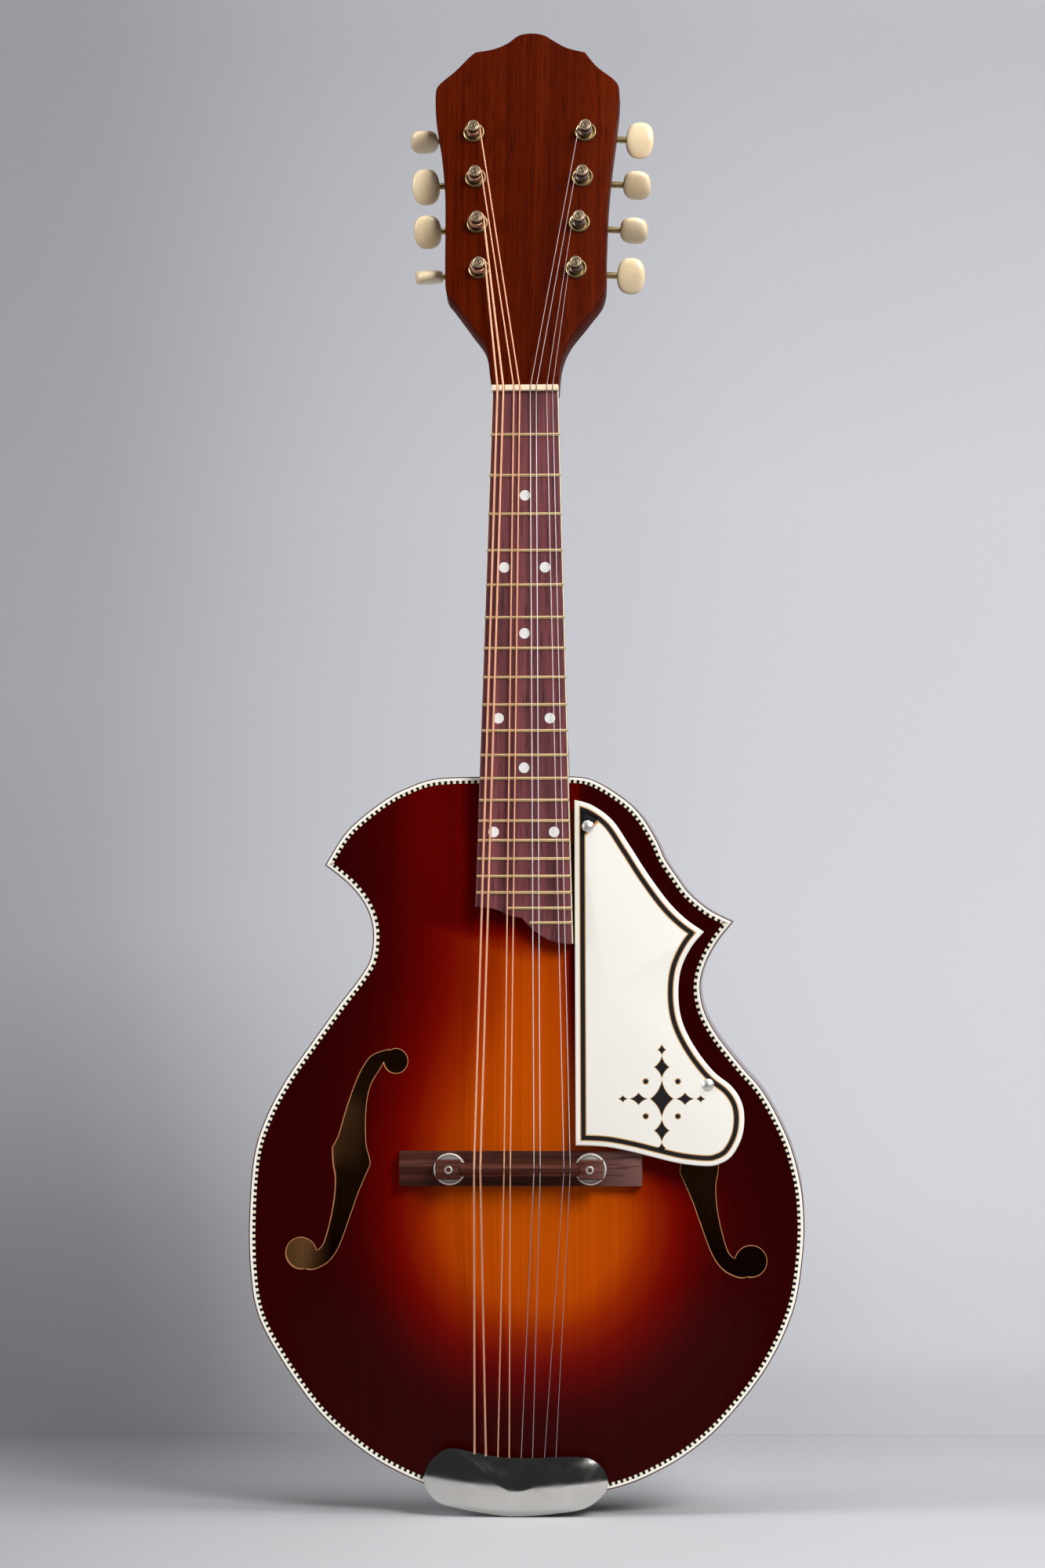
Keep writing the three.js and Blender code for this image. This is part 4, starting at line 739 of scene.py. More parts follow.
def slab(line, from_y, to_y, edge, centre, steps=4):
    """A flat board over a closed line, with rounded edges and both faces closed to one point."""
    bend = np.linspace(0, np.pi / 2, steps + 1)
    section = [(edge * (1 - math.sin(a)), from_y + edge * (1 - math.cos(a))) for a in bend]
    section += [(edge * (1 - math.cos(a)), to_y - edge * (1 - math.sin(a))) for a in bend]
    front, rear = (np.full((1, len(line), 3), (centre[0], y, centre[1])) for y in (from_y, to_y))
    return np.concatenate([front, section_round(line, section), rear])


add_neck("head", from_head(slab(head_line, 0.0, head_thickness, 1.0, (0, 100))), 60)

# Fretboard. A tapered rosewood board with a scooped end, thin white strips along both sides,
# twenty frets of gold coloured wire and pearl dots at the usual frets.
board_paint = Paint("oiled_rosewood", Roughness=0.46, Specular_IOR_Level=0.3)
pore = board_paint.streaks((1100.0, 90.0, 60.0), 2.0, 0.6, 0.3)
board_colour = board_paint.streaks((160.0, 20.0, 7.0), 4.0, 0.6, 0.8).ramp([
    (0.28, (0.070, 0.018, 0.022)), (0.50, (0.155, 0.038, 0.044)), (0.72, (0.232, 0.062, 0.068))])
pored(board_paint, board_colour, pore, (0.58, 0.68, 0.0, 0.8), (0.030, 0.009, 0.012), (0.25, 0.0003))
strip_width = 0.6
bass_end, treble_end = -233.5, -250.5
end_shares = [(0, 0), (0.2, 0.07), (0.36, 0.24), (0.48, 0.3), (0.62, 0.66), (0.8, 0.92), (1, 1)]
end_half = board_half(board_length)
board_end = np.array([((2 * u - 1) * end_half, bass_end + v * (treble_end - bass_end))
                      for u, v in end_shares])
board_end = np.concatenate([board_end[:1], curve_through(board_end[:4], 30)[1:],
                            curve_through(board_end[3:], 40)[1:]])
board_start = nut_width / 2 - strip_width
board_line = np.concatenate([[(board_start, 0), (-board_start, 0)],
                             board_end * ((end_half - strip_width) / end_half, 1)])[::-1]
add("fretboard_wood", from_neck(slab(board_line, 0.0, board_thickness, 0.15, (3, -120), 2)), board_paint,
    "fretboard", "rosewood_board", angle=40)


def bar(line, half_width, half_height, power=0.25, sides=16):
    """A bar carried along a line: each section is a rounded box across it."""
    turn = full_turn(sides)[None, :, None]
    u, v = blunt(np.cos(turn), power) * half_width, blunt(np.sin(turn), power) * half_height
    run = unit(np.gradient(line, axis=0))
    across = unit(np.cross(run, (0, 1, 0)))
    return capped(line[:, None] + across[:, None] * u + np.cross(across, run)[:, None] * v)


for side, name, low in ((-1, "bass", bass_end - 0.1), (1, "treble", treble_end + 0.1)):
    downs = np.array([0.1, low])
    rail = xyz(side * (board_half(-downs) - strip_width / 2), board_thickness / 2, downs)
    add(f"board_binding_{name}", from_neck(bar(rail, strip_width / 2, board_thickness / 2)), plain_binding,
        "fretboard", "binding", angle=30)
fret_paint = two_tone("gold_fret_wire", (900.0, 3.0), (0.95, 0.74, 0.40), (0.80, 0.60, 0.30),
                      gloss=(0.3, 0.7, 0.28, 0.42), Metallic=0.9, Roughness=0.34)
fret_height, fret_half, fret_inset, fret_bevel = 1.0, 0.72, 0.05, 0.35
short_frets = {19: -7.2, 20: 2.4}
turn = np.linspace(0, np.pi, 13)
drop = np.array([0.55, 0.0, 0.0, 0.55])[:, None]
for number in range(1, 21):
    down = scale_length * (1 - 2 ** (-number / 12))
    half = board_half(down) - fret_inset
    left = short_frets.get(number, -half)
    ends = np.array([left, left + fret_bevel, half - fret_bevel, half])[:, None]
    wire = xyz(ends, 0.02 - np.sin(turn) * (fret_height - drop),
               -down + np.cos(turn) * fret_half * (1 - 0.3 * drop))
    add(f"fret_{number}", from_neck(capped(wire)), fret_paint, "fretboard", "rosewood_board", angle=40)
pearl_paint = Paint("pearl_dot", Roughness=0.22, Coat_Weight=0.6)
pearl_paint.finish(Base_Color=pearl_paint.cloud(420.0, 3.0, 0.6, 1.2).ramp([
    (0.3, (0.78, 0.80, 0.78)), (0.5, (0.90, 0.88, 0.84)), (0.7, (0.80, 0.84, 0.86))]))
dot_radius, dot_proud, dot_depth = 2.4, 0.03, 1.2
dots = [(0.0, 47.5), (-9.2, 80.3), (9.2, 80.3), (0.0, 110.3), (-11.6, 148.8), (11.6, 148.8), (0.0, 171.2),
        (-13.6, 200.2), (13.6, 200.2)]
for number, (x, down) in enumerate(dots, 1):
    disc = slab(circle((x, -down), dot_radius, 40), -dot_proud, dot_depth, 0.05, (x, -down), 1)
    add(f"dot_{number}", from_neck(disc), pearl_paint, "fretboard", "binding", angle=30)

# Nut. A strip of bone across the end of the fretboard, rounded along its top, with a slot filed
# for each string so that it passes just above the first fret.
string_sizes = [1.0, 1.0, 0.66, 0.66, 0.41, 0.41, 0.3, 0.3]
wound_count = 4
courses = np.repeat(np.arange(4) - 1.5, 2)
halves_of_pair = np.tile([-0.5, 0.5], 4)
nut_course, nut_pair = 7.4, 2.7
saddle_course, saddle_pair = 13.4, 2.8
saddle_centre, tail_centre = -0.1, -4.6
tail_step = 5.2
nut_x = courses * nut_course + halves_of_pair * nut_pair
saddle_x = saddle_centre + courses * saddle_course + halves_of_pair * saddle_pair
tail_x = tail_centre + (np.arange(8) - 3.5) * tail_step
nut_action = 1.35
nut_top = -2.3
ivory_paint = two_tone("ivory_plastic", (24.0, 3.0), (0.91, 0.88, 0.815), (0.87, 0.835, 0.755),
                       Roughness=0.26, Coat_Weight=0.4, Coat_Roughness=0.08)
ivory_paint.finish(Normal=ivory_paint.cloud(160.0, 2.0).bump(0.02, 0.0003))


def notched_strip(x, level, floor, places, back, sections):
    """A strip along x whose top is level, but for a round-bottomed slot under each string.

    Each section point is a place across and how far it lies under the top, or None at the back."""
    top = np.full(len(x), level)
    for place, size in zip(places, string_sizes):
        reach = size / 2 + 0.08
        near = np.abs(x - place) < reach
        bowl = floor - size / 2 + np.sqrt(np.maximum(reach**2 - (x - place) ** 2, 0))
        top[near] = np.maximum(bowl[near], level)
    return capped(np.stack([xyz(x, back if drop is None else top + drop, across)
                            for across, drop in sections], axis=1))


sections = [(0.08, None), (0.08, 0.5), (0.2, 0.16), (0.5, 0), (2.3, 0.25), (2.75, 0.5), (2.95, 0.95),
            (2.95, None)]
nut_grid = notched_strip(np.linspace(-nut_width / 2, nut_width / 2, 301), nut_top, -nut_action, nut_x,
                         board_thickness, sections)
bone_paint = two_tone("aged_bone", (260.0, 4.0, 0.6), (0.84, 0.68, 0.50), (0.74, 0.56, 0.38),
                      bump=(0.05, 0.0003), Roughness=0.34, Specular_IOR_Level=0.3)
add("bone_nut", from_neck(nut_grid), bone_paint, "nut", "ivory", angle=35)

# Tuning machines. On the back of the head a brass plate carries four worms in bored ears, each
# worm turns a wheel of twelve teeth on its post, and a cream button is pressed on its shaft.
brass_paint = Paint("aged_brass", Metallic=1.0, Roughness=0.34)
tarnish = brass_paint.cloud(210.0, 4.0, 0.65, 0.6)
brass_paint.finish(Base_Color=tarnish.ramp([(0.30, (0.24, 0.165, 0.075)), (0.52, (0.50, 0.37, 0.17)),
                                            (0.72, (0.74, 0.58, 0.29))]),
                   Roughness=tarnish.level(0.3, 0.7, 0.46, 0.26),
                   Normal=brass_paint.cloud(1900.0, 2.0).bump(0.05, 0.0002))
post_paint = two_tone("dark_bronze_post", (420.0, 4.0, 0.65, 0.4), (0.13, 0.090, 0.058), (0.38, 0.285, 0.190),
                      gloss=(0.3, 0.7, 0.46, 0.28), Metallic=1.0, Roughness=0.4)
nickel_paint = two_tone("bright_nickel", (90.0, 4.0, 0.6, 0.5), (0.78, 0.76, 0.72), (0.62, 0.60, 0.56),
                        gloss=(0.35, 0.75, 0.05, 0.16), Metallic=1.0, Roughness=0.10)
nickel_paint.finish(Normal=nickel_paint.streaks((90.0, 700.0, 1500.0), 2.0).bump(0.012, 0.0002))
button_paint = Paint("cream_button", Roughness=0.30, Coat_Weight=0.35, Coat_Roughness=0.15,
                     Subsurface_Weight=0.12, Subsurface_Scale=0.002)
mottle = button_paint.streaks((60.0, 60.0, 160.0), 3.0, 0.55, 0.8)
grime = button_paint.cloud(300.0, 3.0).level(0.62, 0.8, 0.0, 0.4)
button_colour = mottle.mix((0.97, 0.80, 0.54), (0.92, 0.70, 0.42))
button_paint.finish(Base_Color=grime.mix(button_colour, (0.55, 0.38, 0.20)), Normal=mottle.bump(0.03, 0.0004))
strip_lean = math.radians(3)
strip_x = 22.2
first_post = 57.9
post_step = 22.8
worm_offset = 6.6
wheel_teeth = 12
wheel_radius = 4.4
wheel_half = 1.5
worm_radius = 2.2
tooth_height = 1.2
shaft_radius = 1.5
button_reach = 24.0
button_length = 12.8
button_width = 17.0
button_thickness = 6.4
plate_front = head_thickness + 0.3
plate_back = plate_front + 1.2
worm_y = plate_back + 4.6
wheel_pitch = 2 * np.pi * wheel_radius / wheel_teeth
plate_end = 3 * post_step + worm_offset
plate_half = 7.5
plate_overhang = 11
screw_inset = 7.5
first_gap = 15.6
ear_apart = 4.7
ear_half = 2.6
ear_thickness = 1.6
tooth_half, tooth_flank = 0.66, 0.44
wheel_root = 3.7
thread_reach = 3.1
bushing = [(3.08, 1.5), (3.08, -0.15), (3.75, -0.15), (3.85, -1.0), (4.05, -1.32), (4.4, -1.4),
           (4.7, -1.2), (4.87, -0.85), (4.9, -0.4), (4.9, 1.5), (3.08, 1.5)]
post_profile = [(0, -8.35), (0.7, -8.38), (1.0, -8.6), (1.5, -8.62), (1.7, -8.5), (2.0, -8.5), (2.3, -8.62),
                (2.7, -8.5), (2.95, -8.25), (3.0, -7.95), (3.0, -7.1), (2.9, -6.95), (2.62, -6.75),
                (2.6, -2.2), (2.95, -1.9), (3.0, -1.6), (3.0, worm_y - 1.6), (3.0, worm_y + 1.9),
                (2.4, worm_y + 2.9), (0, worm_y + 3.0)]
screw_head = [(0, 1.0), (0.7, 0.93), (1.3, 0.66), (1.62, 0.25), (1.65, 0), (0, 0)]


def turned(profile, place=(0, 0, 0), steps=48):
    """A turned piece about the y axis: each point of its profile is carried round in steps.

    It has a radius, which is one number or one for each step, and a depth."""
    turn = full_turn(steps)
    return np.stack([xyz(r * np.cos(turn), depth, r * np.sin(turn)) for r, depth in profile]) + place


def on_strip(points, side):
    """Places on a row of machines: leaned out from its lowest post, on the head."""
    x, y, z = np.moveaxis(np.asarray(points, float), -1, 0)
    c, s = math.cos(strip_lean), side * math.sin(strip_lean)
    return from_head(xyz(side * strip_x + x * c + z * s, y, first_post + z * c - x * s))


def rounded_box(low_x, high_x, low_z, high_z, radius, steps=6):
    """A closed line round a rectangle whose corners are quarter circles."""
    left, right, low, high = low_x + radius, high_x - radius, low_z + radius, high_z - radius
    corners = [(right, high), (left, high), (left, low), (right, low)]
    turn = np.linspace(0, np.pi / 2, steps + 1)
    return np.concatenate([np.stack([x + radius * np.cos(turn + k * np.pi / 2),
                                     z + radius * np.sin(turn + k * np.pi / 2)], axis=1)
                           for k, (x, z) in enumerate(corners)])


def tooth_rise(from_middle):
    """Share of a tooth's height by the distance from its middle: its flanks slope evenly."""
    return np.clip((tooth_half - from_middle) / tooth_flank, 0, 1)


def wheel_grid():
    """A gear of twelve teeth, whose section leans from one face to the other to follow the worm."""
    angle = full_turn(240)
    lean = wheel_pitch / (2 * np.pi * worm_radius) / wheel_radius
    from_tooth = np.abs((angle / (2 * np.pi / wheel_teeth)) % 1 - 0.5) * wheel_pitch
    rows = []
    inner = wheel_half - 0.2
    for depth, cut_back in ((-wheel_half, 0.25), (-inner, 0), (0, 0), (inner, 0), (wheel_half, 0.25)):
        radius = wheel_root + tooth_height * tooth_rise(from_tooth) - cut_back
        turn = angle + lean * depth
        rows.append(xyz(radius * np.sin(turn), worm_y + depth, radius * np.cos(turn)))
    return np.stack([rows[0] * (0, 1, 0), *rows, rows[-1] * (0, 1, 0)])


def worm_grid(side):
    """A worm on its shaft: the radius stands up where a place along and round it lies near one
    turn of the thread, and the thread fades out at both ends."""
    along = np.concatenate([[-5.8, -5.75], np.arange(-5.5, 5.51, 0.12),
                            [5.75, 7.4, 7.45, 8.6, 8.65, 15.0, button_reach]])
    u, a = np.meshgrid(along, full_turn(36), indexing="ij")
    from_thread = np.abs((u / wheel_pitch - a / (2 * np.pi) + 0.5) % 1 - 0.5) * wheel_pitch
    fade = np.clip((thread_reach - np.abs(u)) / 0.5, 0, 1)
    radius = shaft_radius + tooth_height * tooth_rise(from_thread) * fade
    radius[0] = 1.2
    radius += 0.75 * ((along > 7.42) & (along < 8.62))[:, None]
    return capped(xyz(side * u, worm_y + radius * np.sin(a) * side, -radius * np.cos(a)))


def button_grid(side, tilt):
    """A fat oval: along the shaft its width goes by a superellipse of power 2.5, its thickness by 5."""
    u = -np.cos(np.linspace(0, np.pi, 41))[:, None]
    a = full_turn(56)
    wide, thin = (half * np.maximum(0, 1 - np.abs(u) ** power) ** (1 / power)
                  for half, power in ((button_width / 2, 2.5), (button_thickness / 2, 5)))
    wide, thin = wide * np.cos(a), thin * blunt(np.sin(a), 0.86)
    c, s = math.cos(math.radians(tilt)), math.sin(math.radians(tilt))
    return xyz(side * (button_reach + button_length / 2 * u), worm_y + thin * c - wide * s,
               thin * s + wide * c)


button_turns = {"bass": (107, 51, 34, 82), "treble": (34, 74, 67, 17)}
for name, side in (("bass", -1), ("treble", 1)):
    def add_machine(title, grid, z, node, angle, paint=brass_paint, slot="aged_brass", body="root"):
        add(title, on_strip(grid + (0, 0, z), side), paint, node, slot, body, angle=angle)
    tuner_plate = f"tuner_plate_{name}"
    plate_line = rounded_box(-plate_half, plate_half, -plate_overhang, plate_end + plate_overhang, 3.2)
    plate = slab(plate_line, plate_front, plate_back, 0.25, (0, 40), 2)
    add_machine(f"machine_plate_{name}", plate, 0, tuner_plate, 35)
    between = [first_gap + k * post_step for k in range(3)]
    for number, z in enumerate((-screw_inset, *between, plate_end + screw_inset), 1):
        screw = turned(screw_head, (0, plate_back, 0), 24)
        add_machine(f"machine_screw_{name}_{number}", screw, z, tuner_plate, 40)
    for i in range(4):
        unit_name = f"{name}_{i + 1}"
        post_z = i * post_step
        worm_z = post_z + worm_offset
        for half, ear_x in (("inner", -ear_apart), ("outer", ear_apart)):
            ear_line = rounded_box(-ear_half, ear_half, plate_front + 0.2, worm_y + 2.7, 1.6)
            ear = slab(ear_line, -ear_thickness / 2, ear_thickness / 2, 0.2, (0, 19), 2)
            ear = ear[..., [1, 2, 0]] + (ear_x, 0, 0)
            add_machine(f"machine_ear_{unit_name}_{half}", ear, worm_z, tuner_plate, 35)
        add_machine(f"bushing_{unit_name}", turned(bushing, steps=56), post_z, "neck", 30)
        post, key = f"post_{unit_name}", f"key_{unit_name}"
        add_machine(f"string_{post}", turned(post_profile), post_z, f"tuner_{post}", 32, post_paint,
                    body=post)
        add_machine(f"worm_wheel_{unit_name}", wheel_grid(), post_z, f"tuner_{post}", 30, body=post)
        add_machine(f"worm_{unit_name}", worm_grid(side), worm_z, f"tuner_worm_{unit_name}", 40, body=key)
        add_machine(f"button_{unit_name}", button_grid(side, button_turns[name][i]), worm_z,
                    f"tuner_button_{unit_name}", 60, button_paint, "cream_plastic", key)

# Support and cleat of the neck. A tongue of the neck runs on under the fretboard over the body,
# and a small block on its treble side takes the upper screw of the pickguard.
tongue_half = 11
tongue_length = 36
cleat_half = 8
cleat_front, cleat_back = 5.8, 8.4
tongue = slab(rounded_box(-tongue_half, tongue_half, -joint_down - tongue_length, -joint_down + 6, 1),
              board_thickness + 0.02, board_thickness + 2.7, 0.3, (0, -200), 2)
add_neck("neck_tongue", from_neck(tongue), 35)
guard_left = board_half(board_length) + 0.3
guard_top = joint_down + 9.4
guard_width = 77.0
guard_length = scale_length - guard_top - 1.6


def on_guard(shares):
    return np.asarray(shares, float) * (guard_width, -guard_length) + (guard_left, -guard_top)


upper_screw, lower_screw = on_guard([(0.08, 0.073), (0.782, 0.777)])
x, z = upper_screw
cleat = slab(rounded_box(0, x + 6, z - cleat_half, z + cleat_half, 1.5), cleat_front, cleat_back, 0.3,
             (12, z), 2)
add_neck("guard_cleat", from_neck(cleat), 35)

# Bridge. A rosewood base is fitted to the arch and only stands on it. Two threaded studs rise
# from it, and a knurled wheel on each holds up the saddle over which the strings pass.
bridge_centre = -1.5
base_half = 54.5
base_width = 15.6
base_gap, base_height = 0.3, 5.4
wheel_gap, wheel_height = 1.5, 2.2
saddle_half = 26.5
base_front = rim_front - top_rise - base_gap - base_height
wheel_front = base_front - wheel_gap - wheel_height
saddle_back = wheel_front - 0.3
crest_top = saddle_y - 0.8
stud_apart = 31.6
thread_pitch = 0.8
thread_root, thread_height = 1.62, 0.21
knurl_count = 48
knurl_depth = 0.26
block_inner, block_outer = 5.1, 5.9
block_half = 4.4
bridge_paint = Paint("dark_rosewood", Roughness=0.5, Specular_IOR_Level=0.10)
pore = bridge_paint.streaks((55.0, 900.0, 900.0), 2.0)
bridge_colour = bridge_paint.streaks((8.0, 190.0, 190.0), 4.0, 0.6, 0.5).ramp([
    (0.28, (0.020, 0.005, 0.003)), (0.50, (0.062, 0.016, 0.009)), (0.72, (0.170, 0.066, 0.046))])
# The base turns lighter towards its treble end.
bridge_colour = bridge_paint.place()[0].level(0.026, 0.050, 0.0, 0.55).mix(bridge_colour, (0.30, 0.15, 0.13))
pored(bridge_paint, bridge_colour, pore, (0.60, 0.70, 0.0, 0.75), (0.018, 0.006, 0.005), (0.25, 0.0003))
x = np.concatenate([[-base_half, -base_half + 0.12], np.linspace(-base_half + 0.5, base_half - 0.5, 90),
                    [base_half - 0.12, base_half]]) + bridge_centre
end_round = np.concatenate([[0.5, 0.15], np.zeros(90), [0.15, 0.5]])
half = base_width / 2
rows = []
for across in (-1, *np.linspace(-0.8, 0.8, 9), 1):
    z = saddle_z + across * half
    rows.append(xyz(x, top_surface(x, z) - 0.06, z))
for across, drop in ((1, 0.6), (0.985, 0.18), (0.94, 0.0), (-0.94, 0.0), (-0.985, 0.18), (-1, 0.6)):
    rows.append(xyz(x, base_front + drop + end_round, saddle_z + across * (half - end_round)))
add("rosewood_base", capped(np.stack(rows, axis=1)), bridge_paint, "bridge_base", "rosewood_bridge", angle=35)

turned_paint = two_tone("turned_nickel", (400.0, 4.0, 0.6), (0.86, 0.84, 0.80), (0.62, 0.60, 0.57),
                        gloss=(0.35, 0.75, 0.34, 0.50), Metallic=0.85, Roughness=0.42)
stud_turn = full_turn(60)
hexagon = 0.98 / np.cos((stud_turn + np.pi / 6) % (np.pi / 3) - np.pi / 6)
stud_top = saddle_y - 0.4
wheel_turn = full_turn(288)
ridge = knurl_depth * np.abs((wheel_turn * knurl_count / (2 * np.pi)) % 1 - 0.5) * 2
wheel_levels = [(1.95, 2.2, 0), (1.95, 0.25, 0), (2.2, 0.0, 0), (3.3, 0.0, 0), (3.5, 0.2, 0), (5.9, 0.2, 0),
                (6.2, 0.02, 0), (6.5, 0.0, 0), (7.0, 0.08, 1), (7.25, 0.3, 1), (7.35, 0.5, 1), (7.35, 1.7, 1),
                (7.25, 1.9, 1), (6.9, 2.2, 0), (1.95, 2.2, 0)]
for name, side in (("bass", -1), ("treble", 1)):
    stud_x = bridge_centre + side * stud_apart
    levels = [(0, 1.3), (hexagon, 1.25), (hexagon, 0.02), (1.45, 0.0), (1.72, 0.1), (1.83, 0.35)]
    thread = np.arange(1.2, rim_front - top_rise - stud_top - 0.6, 0.1)
    for depth in thread:
        from_ridge = np.abs(((depth / thread_pitch - stud_turn / (2 * np.pi)) % 1) - 0.5) * 2
        levels.append((thread_root + thread_height * from_ridge, depth))
    levels.append((0, thread[-1]))
    add(f"threaded_stud_{name}", turned(levels, (stud_x, stud_top, saddle_z), len(stud_turn)), turned_paint,
        f"bridge_stud_{name}", "nickel", angle=28)
    knob = turned([(r - k * ridge, d) for r, d, k in wheel_levels], (stud_x, wheel_front, saddle_z),
                  len(wheel_turn))
    add(f"knurled_wheel_{name}", knob, turned_paint, f"bridge_thumbwheel_{name}", "nickel",
        f"thumbwheel_{name}", angle=30)
    ends = sorted((stud_x - side * block_inner, stud_x + side * block_outer))
    block = slab(rounded_box(*ends, saddle_z - block_half, saddle_z + block_half, 0.7), crest_top + 0.8,
                 saddle_back, 0.7, (stud_x, saddle_z))
    add(f"saddle_block_{name}", block, bridge_paint, "bridge_saddle", "rosewood_bridge", "saddle", angle=35)
half_section = [(3.0, None), (3.0, 3.6), (2.8, 3.1), (1.15, 0.35), (0.8, 0.0)]
sections = [(saddle_z - across, drop) for across, drop in half_section]
sections += [(saddle_z + across, drop) for across, drop in half_section[::-1]]
saddle_bar = notched_strip(np.linspace(-saddle_half, saddle_half, 531) + bridge_centre, crest_top,
                           saddle_y, saddle_x, saddle_back, sections)
add("saddle_bar", saddle_bar, bridge_paint, "bridge_saddle", "rosewood_bridge", "saddle", angle=35)

# Tailpiece. A bent nickelled plate is screwed over the tail and holds eight hooks for the
# looped string ends. A pressed cover, polished to a mirror, slides over it.
tail_front = rim_front - 7.6
body_bottom = body_top - 1.003 * body_length
hook_z = body_bottom + 12
metal = 1.2
bend_radius = 2.6
plate_reach = 17
plate_depth = 30
plate_half_width = 25
hook_radius = 0.8
under = tail_front + 3.4
outside = body_bottom - 0.3 - metal


def add_tail(name, grid, angle):
    add(name, grid, nickel_paint, "tailpiece_plate", "nickel", angle=angle)


def bent_path(gap):
    """The plate's outer side, or its inner one where the gap is its thickness: down, bent and back."""
    turn = bend_radius - gap
    return np.array([(under + gap, body_bottom + plate_reach)] + [
        (under + gap + turn * (1 - math.cos(a)), outside + gap + turn * (1 - math.sin(a)))
        for a in np.linspace(0, np.pi / 2, 9)] + [(rim_front + plate_depth, outside + gap)])


inner_path, outer_path = bent_path(metal), bent_path(0)
loop = np.concatenate([inner_path, outer_path[::-1]])
centre_line = (inner_path + outer_path) / 2
centre_loop = np.concatenate([centre_line, centre_line[::-1]])
plate_steps = [(plate_half_width - inwards, shrink) for inwards, shrink in ((0, 0.25), (0.15, 0.1), (0.5, 0))]
plate = np.stack([np.insert(loop + (centre_loop - loop) * shrink, 0, tail_centre + x, axis=1)
                  for x, shrink in [(-x, shrink) for x, shrink in plate_steps] + plate_steps[::-1]])
add_tail("tail_plate", capped(plate), 35)
for number, x in enumerate(tail_x, 1):
    hook_path = curve_through([(x, under + 0.8, hook_z), (x, tail_front + 1.2, hook_z),
                               (x, tail_front - 0.3, hook_z - 0.3), (x, tail_front - 1.0, hook_z - 1.4),
                               (x, tail_front - 0.9, hook_z - 2.8)], 24)
    add_tail(f"tail_hook_{number}", capped(tube(hook_path, hook_radius, 14, (1, 0, 0))), 40)


def slotted_dome(radius, height, slot_width=0.7, slot_depth=0.7, turn=0.3):
    """A domed screw head: an oval cap over a circle, with a straight slot let into it."""
    r = np.concatenate([np.linspace(0, radius * 0.96, 22), [radius, radius, 0]])
    rr, aa = np.meshgrid(r, full_turn(96), indexing="ij")
    dome = -height * np.sqrt(np.maximum(0, 1 - (np.minimum(rr, radius * 0.97) / radius) ** 2))
    in_slot = np.clip((slot_width / 2 + 0.06 - np.abs(rr * np.sin(aa - turn))) / 0.08, 0, 1)
    dome = dome + np.minimum(slot_depth, -dome) * in_slot
    dome[-2:] = 0
    return xyz(rr * np.cos(aa), dome, rr * np.sin(aa))


for number, (x, y) in enumerate([(-18, 8), (9, 8), (tail_centre, 24)], 1):
    head = slotted_dome(3.2, 1.3)[..., [0, 2, 1]] + (x, rim_front + y, outside)
    add_tail(f"tail_screw_{number}", head, 35)

cover_size = (85, 29)
cover_gap = 0.8
cover_shares = [(-0.48, -0.02), (-0.42, -0.3), (-0.3, -0.42), (-0.1, -0.52), (0.02, -0.54), (0.2, -0.5),
                (0.38, -0.4), (0.485, -0.12), (0.475, 0.16), (0.4, 0.35), (0.28, 0.385), (0.08, 0.363),
                (-0.1, 0.385), (-0.24, 0.462), (-0.36, 0.5), (-0.455, 0.28), (-0.48, -0.02)]
wrapped = np.array(cover_shares[-3:-1] + cover_shares + cover_shares[1:3]) * cover_size
cover_line = curve_through(wrapped, 400)
start = np.linalg.norm(cover_line - np.array(cover_shares[0]) * cover_size, axis=1)
cover_line = cover_line[start[:200].argmin():200 + start[200:].argmin()]
cover_place = (tail_centre, body_bottom + 8.6)
cover_ridge = np.array([0.0, -6.2])
cover_front = rim_front - 8.4
cover_dome = 4.6
cover_rows = []
for gap in (0.0, cover_gap):
    rows = []
    for share in np.linspace(0, 1, 34):
        line = (cover_ridge + (cover_line - cover_ridge) * share) * (1 - gap / 22)
        rows.append(at_depth(line + cover_place, cover_front + gap - cover_dome * (1 - share**2.4)))
    edge = rows[-1]
    edge_line = edge[:, [0, 2]]
    nearest = np.linalg.norm(edge_line[:, None] - outline[None], axis=2).argmin(axis=1)
    outwards = (outline - middle_of(outline))[nearest]
    over_body = ((edge_line - outline[nearest]) * outwards).sum(axis=1) < -1.0
    skirt = np.where(over_body, top_surface(*edge_line.T) - 0.4, rim_front + 16)
    rows += [at_depth(edge_line, edge[:, 1] + (skirt - edge[:, 1]) * share) for share in (0.5, 1.0)]
    cover_rows.append(rows)
add("mirror_cover", np.stack(cover_rows[0] + cover_rows[1][::-1]), nickel_paint, "tailpiece_cover", "nickel",
    "tail_cover", angle=40)

# Pickguard. An ivory plate beside the strings, with a black stripe between gold lines let into
# it all round, held by a screw in the neck's cleat and by one in a turned post.
guard_runs = [
    [(0, 0), (0.104, 0.015), (0.222, 0.056), (0.326, 0.127), (0.429, 0.202), (0.547, 0.277), (0.649, 0.325),
     (0.757, 0.361)],
    [(0.757, 0.361), (0.679, 0.406), (0.621, 0.468), (0.609, 0.542), (0.635, 0.61), (0.709, 0.678),
     (0.812, 0.74), (0.916, 0.78), (0.974, 0.821), (0.992, 0.869), (0.974, 0.923), (0.916, 0.971),
     (0.842, 0.992), (0.768, 0.997), (0.621, 0.99), (0.473, 0.974), (0.326, 0.957), (0.178, 0.945),
     (0.012, 0.942)],
]
guard_foot = np.linspace(on_guard(guard_runs[1][-1]), on_guard((0, 0)), 120)[:-1]
guard_line = np.concatenate([joined(guard_runs, (120, 260), on_guard), guard_foot])[::-1]
guard_front = 3.0
guard_back = 5.5
inlay_depth = 0.3
